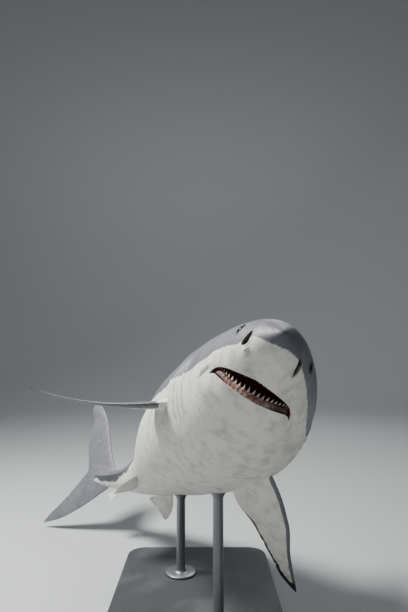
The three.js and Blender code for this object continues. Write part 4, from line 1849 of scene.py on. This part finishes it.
@dataclass(frozen=True)
class SkinFinish:
    """Grey above and white below, with a ragged edge between, black fin tips, a red mouth and painted shade
    in the gills, nostrils and round the eyes.
    """

    effects: SharedEffects
    back: str = "#6d6e75"
    back_dark: str = "#46484e"
    back_pale: str = "#8b8a90"
    belly: str = "#e3e2da"
    belly_shade: str = "#afaea3"
    margin: str = "#17171a"
    lining: str = "#a5493f"
    lining_deep: str = "#7a2a26"
    # The colour of the painted shade in the gills, the nostrils and round the eyes.
    slit: str = "#1b1618"
    roughness: float = 0.46
    specular: float = 0.35
    edge_softness: float = 0.1
    slit_strength: float = 0.93
    lining_depths: Pair = (-4.2, -2.2)
    dark_above: float = 0.55
    dark_patches: float = 0.35
    pale_patches: float = 0.16
    back_scratches: float = 0.22
    pore_strength: float = 0.6
    belly_patches: float = 0.75
    belly_scratches: float = 0.35
    bump_strength: float = 0.35
    bump_distance: float = 0.012

    def make(self) -> Material:
        """Builds the material.

        Returns:
            The material.
        """
        material, graph, shader = new_material("skin")
        place = graph.value("place", vector=True)
        x, _, z = graph.parts(place)
        edge = self._edge(graph, place, x)
        grey = self._grey(graph, place, x)
        white = self._white(graph, place)
        colour = graph.mix(edge, white, grey)
        ragged = graph.math("SUBTRACT", graph.noise(place, 1.6, 4, 0.6), 0.5)
        margin = graph.math("ADD", graph.value("margin"), graph.times(ragged, 1.7))
        colour = graph.mix(graph.ease(margin, -0.05, 0.35), colour, paint(self.margin))
        # Painted shade: dark in the gill openings, the nostrils and round the eyes.
        colour = graph.mix(graph.times(graph.value("slit"), self.slit_strength), colour, paint(self.slit))
        depth = graph.ease(z, *self.lining_depths)
        flesh = graph.mix(depth, paint(self.lining), paint(self.lining_deep))
        colour = graph.mix(graph.value("lining"), colour, flesh)
        graph.put(shader.inputs["Base Color"], colour)
        wet = graph.noise(place, 2.4, 3)
        rough = graph.math("ADD", self.roughness - 0.08, graph.times(wet, 0.16))
        graph.put(shader.inputs["Roughness"], rough)
        shader.inputs["Specular IOR Level"].default_value = self.specular
        self._relief(graph, place, shader)
        return material

    def _edge(self, graph: Graph, place: Socket, x: Socket) -> Socket:
        """Draws the ragged line between the grey and the white.

        Args:
            graph: The material's graph.
            place: Places on the skin, laid out straight.
            x: How far back they are.

        Returns:
            1 on the grey and 0 on the white.
        """
        wide = graph.math("SUBTRACT", graph.noise(place, 0.42, 3, 0.55), 0.5)
        fine = graph.math("SUBTRACT", graph.noise(place, 2.3, 5, 0.65), 0.5)
        freely = graph.math("ADD", 0.5, graph.times(graph.ease(x, 19.0, 32.0), 1.8))
        moved = graph.math("ADD", graph.times(wide, freely), graph.times(fine, 0.6))
        height = graph.math("ADD", graph.value("back"), moved)
        return graph.ease(height, -self.edge_softness, self.edge_softness)

    def _grey(self, graph: Graph, place: Socket, x: Socket) -> Socket:
        """Colours the back: mottled, darker along its top, with fine scratches, and pores on the snout.

        Args:
            graph: The material's graph.
            place: Places on the skin, laid out straight.
            x: How far back they are.

        Returns:
            The colour.
        """
        dark = graph.shared(self.effects.blotches, Vector=place, Scale=0.33, Low=0.42, High=0.66)
        pale = graph.shared(self.effects.blotches, Vector=place, Scale=1.3, Low=0.5, High=0.72)
        height = graph.ease(graph.value("back"), 0.5, 8.0)
        colour = graph.mix(graph.times(height, self.dark_above), paint(self.back), paint(self.back_dark))
        colour = graph.mix(graph.times(dark, self.dark_patches), colour, paint(self.back_dark))
        colour = graph.mix(graph.times(pale, self.pale_patches), colour, paint(self.back_pale))
        scratch = graph.shared(self.effects.scratches, Vector=place, Scale=0.5, Width=0.006, Amount=0.54)
        colour = graph.mix(graph.times(scratch, self.back_scratches), colour, paint(self.back_pale))
        pores = self._pores(graph, place, x)
        return graph.mix(graph.times(pores, self.pore_strength), colour, paint(self.back_dark))

    def _white(self, graph: Graph, place: Socket) -> Socket:
        """Colours the belly: off-white, a little dirtier in patches.

        Args:
            graph: The material's graph.
            place: Places on the skin, laid out straight.

        Returns:
            The colour.
        """
        dull = graph.shared(self.effects.blotches, Vector=place, Scale=0.6, Low=0.4, High=0.75)
        colour = graph.mix(graph.times(dull, self.belly_patches), paint(self.belly), paint(self.belly_shade))
        scratch = graph.shared(self.effects.scratches, Vector=place, Scale=0.8, Width=0.005, Amount=0.56)
        return graph.mix(graph.times(scratch, self.belly_scratches), colour, paint(self.back_pale))

    def _pores(self, graph: Graph, place: Socket, x: Socket) -> Socket:
        """Scatters small sensing pores in groups over the snout.

        Args:
            graph: The material's graph.
            place: Places on the skin, laid out straight.
            x: How far back they are.

        Returns:
            1 in a pore.
        """
        dot = graph.math("SUBTRACT", 1.0, graph.ease(graph.cells(place, 3.4), 0.12, 0.2))
        grouped = graph.ease(graph.noise(place, 0.7, 1), 0.46, 0.56)
        ahead = graph.math("SUBTRACT", 1.0, graph.ease(x, 5.0, 8.0))
        return graph.times(graph.times(dot, grouped), ahead)

    def _relief(self, graph: Graph, place: Socket, shader: bpy.types.Node) -> None:
        """Lays fine grain over slight, slow unevenness.

        Args:
            graph: The material's graph.
            place: Places on the skin, laid out straight.
            shader: The material's shader.
        """
        grain = graph.shared(self.effects.grain, Vector=place, Scale=9.0)
        slow = graph.noise(place, 1.1, 4, 0.6)
        height = graph.math("ADD", graph.times(grain, 0.25), slow)
        graph.roughen(shader, height, self.bump_strength, self.bump_distance)


@dataclass(frozen=True)
class GumFinish:
    """Wet, pale gum, pinker and browner in patches, with painted shade darkening it towards the corners of
    the mouth.
    """

    effects: SharedEffects
    colour: str = "#c8b0a3"
    deep: str = "#8d6054"
    # The colour of the painted shade towards the corners of the mouth.
    corner: str = "#4c3430"
    corner_shade_range: Pair = (1.5, 3.2)
    corner_shade_strength: float = 0.88
    roughness: float = 0.4
    specular: float = 0.12
    bump_strength: float = 0.3
    bump_distance: float = 0.004

    def make(self) -> Material:
        """Builds the material.

        Returns:
            The material.
        """
        material, graph, shader = new_material("mouth_lining")
        place = graph.value("place", vector=True)
        patch = graph.shared(self.effects.blotches, Vector=place, Scale=2.2, Low=0.4, High=0.62)
        _, y, _ = graph.parts(place)
        # Painted shade: darker towards the corners of the mouth.
        corner_shade = graph.ease(graph.math("ABSOLUTE", y), *self.corner_shade_range)
        colour = graph.mix(patch, paint(self.colour), paint(self.deep))
        colour = graph.mix(graph.times(corner_shade, self.corner_shade_strength), colour, paint(self.corner))
        graph.put(shader.inputs["Base Color"], colour)
        shader.inputs["Roughness"].default_value = self.roughness
        shader.inputs["Specular IOR Level"].default_value = self.specular
        grain = graph.shared(self.effects.grain, Vector=place, Scale=14.0)
        graph.roughen(shader, grain, self.bump_strength, self.bump_distance)
        return material


@dataclass(frozen=True)
class ToothFinish:
    """Cream enamel, yellower in patches."""

    effects: SharedEffects
    colour: str = "#f1ecdf"
    stain_and_shade: str = "#d6c7a4"
    stain_strength: float = 0.6
    roughness: float = 0.22

    def make(self) -> Material:
        """Builds the material.

        Returns:
            The material.
        """
        material, graph, shader = new_material("teeth")
        place = graph.value("place", vector=True)
        patch = graph.shared(self.effects.blotches, Vector=place, Scale=1.8, Low=0.45, High=0.7)
        stained = graph.mix(graph.times(patch, self.stain_strength), paint(self.colour), paint(self.stain_and_shade))
        graph.put(shader.inputs["Base Color"], stained)
        shader.inputs["Roughness"].default_value = self.roughness
        return material


@dataclass(frozen=True)
class EyeFinish:
    """Smooth near black."""

    colour: str = "#0a0a0d"
    roughness: float = 0.3
    specular: float = 0.12

    def make(self) -> Material:
        """Builds the material.

        Returns:
            The material.
        """
        material, _, shader = new_material("eye")
        shader.inputs["Base Color"].default_value = paint(self.colour)
        shader.inputs["Roughness"].default_value = self.roughness
        shader.inputs["Specular IOR Level"].default_value = self.specular
        return material


@dataclass(frozen=True)
class StandPaintFinish:
    """Dark satin paint with a fine orange-peel."""

    effects: SharedEffects
    colour: str = "#3a3d41"
    worn: str = "#4a4d52"
    roughness: float = 0.42
    bump_strength: float = 0.2
    bump_distance: float = 0.0006

    def make(self) -> Material:
        """Builds the material.

        Returns:
            The material.
        """
        material, graph, shader = new_material("stand_paint")
        place = graph.add("ShaderNodeTexCoord").outputs["Object"]
        patch = graph.shared(self.effects.blotches, Vector=place, Scale=3.0, Low=0.45, High=0.7)
        graph.put(shader.inputs["Base Color"], graph.mix(patch, paint(self.colour), paint(self.worn)))
        rough = graph.math("ADD", self.roughness, graph.times(graph.noise(place, 7.0), 0.14))
        graph.put(shader.inputs["Roughness"], rough)
        grain = graph.shared(self.effects.grain, Vector=place, Scale=420.0)
        graph.roughen(shader, grain, self.bump_strength, self.bump_distance)
        return material


@dataclass(frozen=True)
class StandSteelFinish:
    """Brushed steel, with fine lines round the rods."""

    effects: SharedEffects
    colour: str = "#8b8e92"
    metal: float = 0.9
    roughness: float = 0.34
    squeeze: Triple = (3, 3, 260)
    bump_strength: float = 0.15
    bump_distance: float = 0.0003

    def make(self) -> Material:
        """Builds the material.

        Returns:
            The material.
        """
        material, graph, shader = new_material("stand_steel")
        place = graph.add("ShaderNodeTexCoord").outputs["Object"]
        squeezed = graph.add("ShaderNodeMapping")
        squeezed.inputs["Scale"].default_value = self.squeeze
        graph.put(squeezed.inputs["Vector"], place)
        lines = graph.noise(squeezed.outputs[0], 2.0, 4, 0.7)
        shader.inputs["Base Color"].default_value = paint(self.colour)
        shader.inputs["Metallic"].default_value = self.metal
        rough = graph.math("ADD", self.roughness, graph.times(lines, 0.16))
        graph.put(shader.inputs["Roughness"], rough)
        scuffs = graph.shared(self.effects.scratches, Vector=place, Scale=9.0, Width=0.004, Amount=0.56)
        height = graph.math("SUBTRACT", lines, graph.times(scuffs, 2.0))
        graph.roughen(shader, height, self.bump_strength, self.bump_distance)
        return material


# ---- the stand ----


@dataclass
class Stand:
    """A flat base and two rods, each with a foot and a cup that fits the belly. Metres."""

    trunk: Trunk
    spine: Spine
    corner: float = 0.14
    bevel: float = 0.008
    rod_radius: float = 0.034
    foot_radius: float = 0.115
    foot_height: float = 0.016
    fillet: float = 0.026
    cup_radius: float = 0.062
    cup_height: float = 0.07
    foot_edge: float = 0.003
    gap: float = 0.0004
    sides: int = 96
    cutter_reach: float = 4.0
    rods: tuple[tuple[str, float], ...] = (("stand_rod_front", 34), ("stand_rod_rear", 52))

    def build(self, painted: Material, steel: Material) -> list[Piece]:
        """Makes the base and the rods.

        Args:
            painted: The base's material.
            steel: The rods' material.

        Returns:
            The base and the rods, in place.
        """
        base = self.base()
        base.data.materials.append(painted)
        made = [base]
        for name, station in self.rods:
            rod = self.rod(name, station)
            rod.data.materials.append(steel)
            made.append(rod)
        return made

    def base(self) -> Piece:
        """Makes the base, with rounded corners and a rounded edge.

        Returns:
            The base, in place.
        """
        low, high = (np.array(v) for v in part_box("stand_base"))
        half = (high - low)[:2] / 2
        middle = (high + low)[:2] / 2
        quarter = np.linspace(0, math.pi / 2, 20)

        def outline(inset: float, z: float) -> Array:
            """Draws the base's outline.

            Args:
                inset: How far it is drawn in.
                z: Its height.

            Returns:
                Its points.
            """
            r = self.corner - inset
            points = []
            for number, (sx, sy) in enumerate(((1, 1), (-1, 1), (-1, -1), (1, -1))):
                turn = quarter + number * math.pi / 2
                centre = middle + np.array([sx, sy]) * (half - self.corner)
                points.append(np.stack([centre[0] + r * np.cos(turn), centre[1] + r * np.sin(turn)], -1))
            flat = np.vstack(points)
            return np.column_stack([flat, np.full(len(flat), z)])

        rounding = np.linspace(0, math.pi / 2, 7)
        b = self.bevel
        rows = [np.array([[*middle, low[2]]])]
        rows += [outline(b * (1 - math.sin(t)), low[2] + b * (1 - math.cos(t))) for t in rounding]
        rows += [outline(b * (1 - math.cos(t)), high[2] - b * (1 - math.sin(t))) for t in rounding]
        rows += [outline(b + inset, high[2]) for inset in (0.002, 0.02)]
        rows.append(np.array([[*middle, high[2]]]))
        base = make_mesh("display_base", *loft(rows))
        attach(base, BODY)
        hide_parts("stand_base")
        return base

    def rod(self, name: str, station: float) -> Piece:
        """Makes a rod, cut to the belly it carries.

        Args:
            name: The rod's node in the frame.
            station: How far back on the body it stands.

        Returns:
            The rod, in place.
        """
        place = self.spine.pose(np.array([[station, 0.0, 0.0]]))[0]
        around = self.trunk.skin(np.full(200, float(station)), full_turn(200))
        belly = self.spine.pose(around)[:, 2].min()
        foot = float(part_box(name)[0].z)
        neck = belly - self.cup_height
        top = place[2]
        step = foot + self.foot_height
        blend = [
            (self.rod_radius + self.fillet * (1 - math.sin(t)), step + self.fillet * (1 - math.cos(t)))
            for t in np.linspace(0, math.pi / 2, 8)
        ]
        edge = self.foot_edge
        outline = [
            (self.foot_radius - edge, foot),
            (self.foot_radius, foot + edge),
            (self.foot_radius, step - edge),
            (self.foot_radius - edge, step),
            *blend,
            (self.rod_radius, neck - 0.001),
            (self.rod_radius + 0.004, neck + 0.004),
            (self.rod_radius + 0.006, neck + 0.012),
            (self.cup_radius - 0.003, neck + self.cup_height * 0.55),
            (self.cup_radius, neck + self.cup_height * 0.66),
            (self.cup_radius, top),
        ]
        turn = full_turn(self.sides)
        rows = [np.array([[place[0], place[1], foot]])]
        for radius, z in outline:
            ring = np.stack([np.cos(turn) * radius + place[0], np.sin(turn) * radius + place[1]], -1)
            rows.append(np.column_stack([ring, np.full(len(ring), z)]))
        rows.append(np.array([[place[0], place[1], top]]))
        rod = make_mesh(name.replace("stand_rod", "display_rod"), *loft(rows))
        join(rod, self.belly_cutter(station), Joining.CUT)
        mesh = rod.data
        mesh.polygons.foreach_set("use_smooth", np.ones(len(mesh.polygons), bool))
        mesh.materials.clear()
        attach(rod, BODY)
        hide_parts(name)
        return rod

    def belly_cutter(self, station: float) -> Piece:
        """Makes a length of the plain body, a hair larger than it is.

        Args:
            station: The middle of its length.

        Returns:
            What is cut out of a rod's top.
        """
        x = np.linspace(station - self.cutter_reach, station + self.cutter_reach, 60)
        angle = np.tile(full_turn(360), (len(x), 1))
        grid = self.trunk.skin(x[:, None], angle, self.gap / PERCENT)
        rows = [np.array([[x[0] - 0.01, 0, 0]]), *grid, np.array([[x[-1] + 0.01, 0, 0]])]
        points, faces = loft(rows)
        return make_mesh("cutter", self.spine.pose(points), faces)


# ---- the studio ----


@dataclass(frozen=True)
class Lamp:
    """A square soft light that faces a point."""

    name: str
    place: Triple
    target: Triple
    size: float
    power: float
    colour: Triple = (1.0, 1.0, 1.0)

    def build(self) -> None:
        """Hangs the light."""
        data = bpy.data.lights.new(self.name, "AREA")
        data.size = self.size
        data.energy = self.power
        data.color = self.colour
        lamp = bpy.data.objects.new(self.name, data)
        lamp.location = self.place
        way = Vector(self.target) - Vector(self.place)
        lamp.rotation_euler = way.to_track_quat("-Z", "Y").to_euler()
        bpy.context.scene.collection.objects.link(lamp)


@dataclass
class Studio:
    """A pale floor that curves up far away, soft lights and the front camera."""

    flat: float = 11.0
    sweep: float = 6.0
    tall: float = 19.0
    eye: Triple = (0.060, -3.650, 1.800)
    look_up: float = math.degrees(math.atan(39 / 500))
    sensor: float = 36.0
    lens: float = 500 * 36 / 612
    ground: str = "#b6b9bb"
    air: str = "#dfe5ea"
    air_strength: float = 0.28
    lamps: tuple[Lamp, ...] = (
        Lamp("key", (-3.5, 0.4, 6.0), (0.0, -1.0, 1.4), 1.8, 980.0, (1.0, 0.985, 0.96)),
        Lamp("fill", (4.5, -5.5, 2.6), (0.2, -0.6, 1.3), 3.0, 8.0, (0.9, 0.95, 1.0)),
        Lamp("back", (2.5, 6.0, 6.5), (-0.6, 0.8, 1.2), 3.0, 160.0),
        Lamp("wall", (0.0, 7.5, 8.5), (0.0, 17.0, 5.5), 6.0, 210.0),
    )

    def build(self) -> None:
        """Builds the studio."""
        self.floor()
        for lamp in self.lamps:
            lamp.build()
        self.world()
        self.camera()

    def floor(self) -> None:
        """The floor and the far wall that it becomes."""
        turn = full_turn(128)
        bend = [
            (self.flat + self.sweep * math.sin(t), self.sweep * (1 - math.cos(t)))
            for t in np.linspace(0, math.pi / 2, 18)
        ]
        outline = [(2.5, 0.0), (6.0, 0.0), *bend, (self.flat + self.sweep, self.tall)]
        points = [np.zeros((1, 3))]
        for radius, z in outline:
            points.append(np.stack([np.cos(turn) * radius, np.sin(turn) * radius, np.full(len(turn), z)], -1))
        count = len(turn)
        pairs = [(i, (i + 1) % count) for i in range(count)]
        faces = [(0, 1 + i, 1 + j) for i, j in pairs]
        for ring in range(len(outline) - 1):
            a = 1 + ring * count
            faces += [(a + i, a + count + i, a + count + j, a + j) for i, j in pairs]
        floor = make_mesh("studio_floor", np.vstack(points), faces)
        material, _, shader = new_material("studio_floor")
        shader.inputs["Base Color"].default_value = paint(self.ground)
        shader.inputs["Roughness"].default_value = 0.9
        shader.inputs["Specular IOR Level"].default_value = 0.1
        floor.data.materials.append(material)

    def world(self) -> None:
        """Even, pale light from above."""
        world = bpy.data.worlds.new("studio_air")
        world.use_nodes = True
        shade = world.node_tree.nodes["Background"]
        shade.inputs["Color"].default_value = paint(self.air)
        shade.inputs["Strength"].default_value = self.air_strength
        bpy.context.scene.world = world

    def camera(self) -> None:
        """The front camera."""
        data = bpy.data.cameras.new("front_camera")
        data.sensor_width = self.sensor
        data.lens = self.lens
        data.clip_end = 200
        camera = bpy.data.objects.new("front_camera", data)
        camera.location = self.eye
        camera.rotation_euler = (math.radians(90 + self.look_up), 0, 0)
        bpy.context.scene.collection.objects.link(camera)
        bpy.context.scene.camera = camera


# ---- everything ----


def main() -> None:
    """Builds the shark, its stand and the studio."""
    logging.basicConfig(level=logging.INFO, format="%(name)s: %(message)s")
    effects = SharedEffects()
    spine, trunk = Spine(), Trunk()
    mouth = Mouth(trunk)
    relief = Relief(trunk, mouth)
    skin = SharkSkin(trunk, mouth, relief, spine, Markings())
    made = [skin.build(SkinFinish(effects).make)]
    enamel, gum = ToothFinish(effects).make(), GumFinish(effects).make()
    upper = ToothRow(
        mouth, Jaw.UPPER, a_side=13, height=0.66, width=0.5, inset=0.9, gum_rise=0.95,
        gum_half_width=0.22, gum_half_height=0.34, root=0.2, lean=0.05,
    )
    lower = ToothRow(
        mouth, Jaw.LOWER, a_side=11, height=0.72, width=0.4, inset=0.91, gum_rise=0.42,
        gum_half_width=0.18, gum_half_height=0.38, root=0.26, lean=0.15,
    )
    for row in (upper, lower):
        made += row.build(spine, enamel, gum)
    made += Eyes().build(EyeFinish().make())
    made += Stand(trunk, spine).build(StandPaintFinish(effects).make(), StandSteelFinish(effects).make())
    for piece in made:
        LOG.info("%s: %d faces", piece.name, len(piece.data.polygons))
    Studio().build()


if __name__ == "__main__":
    main()
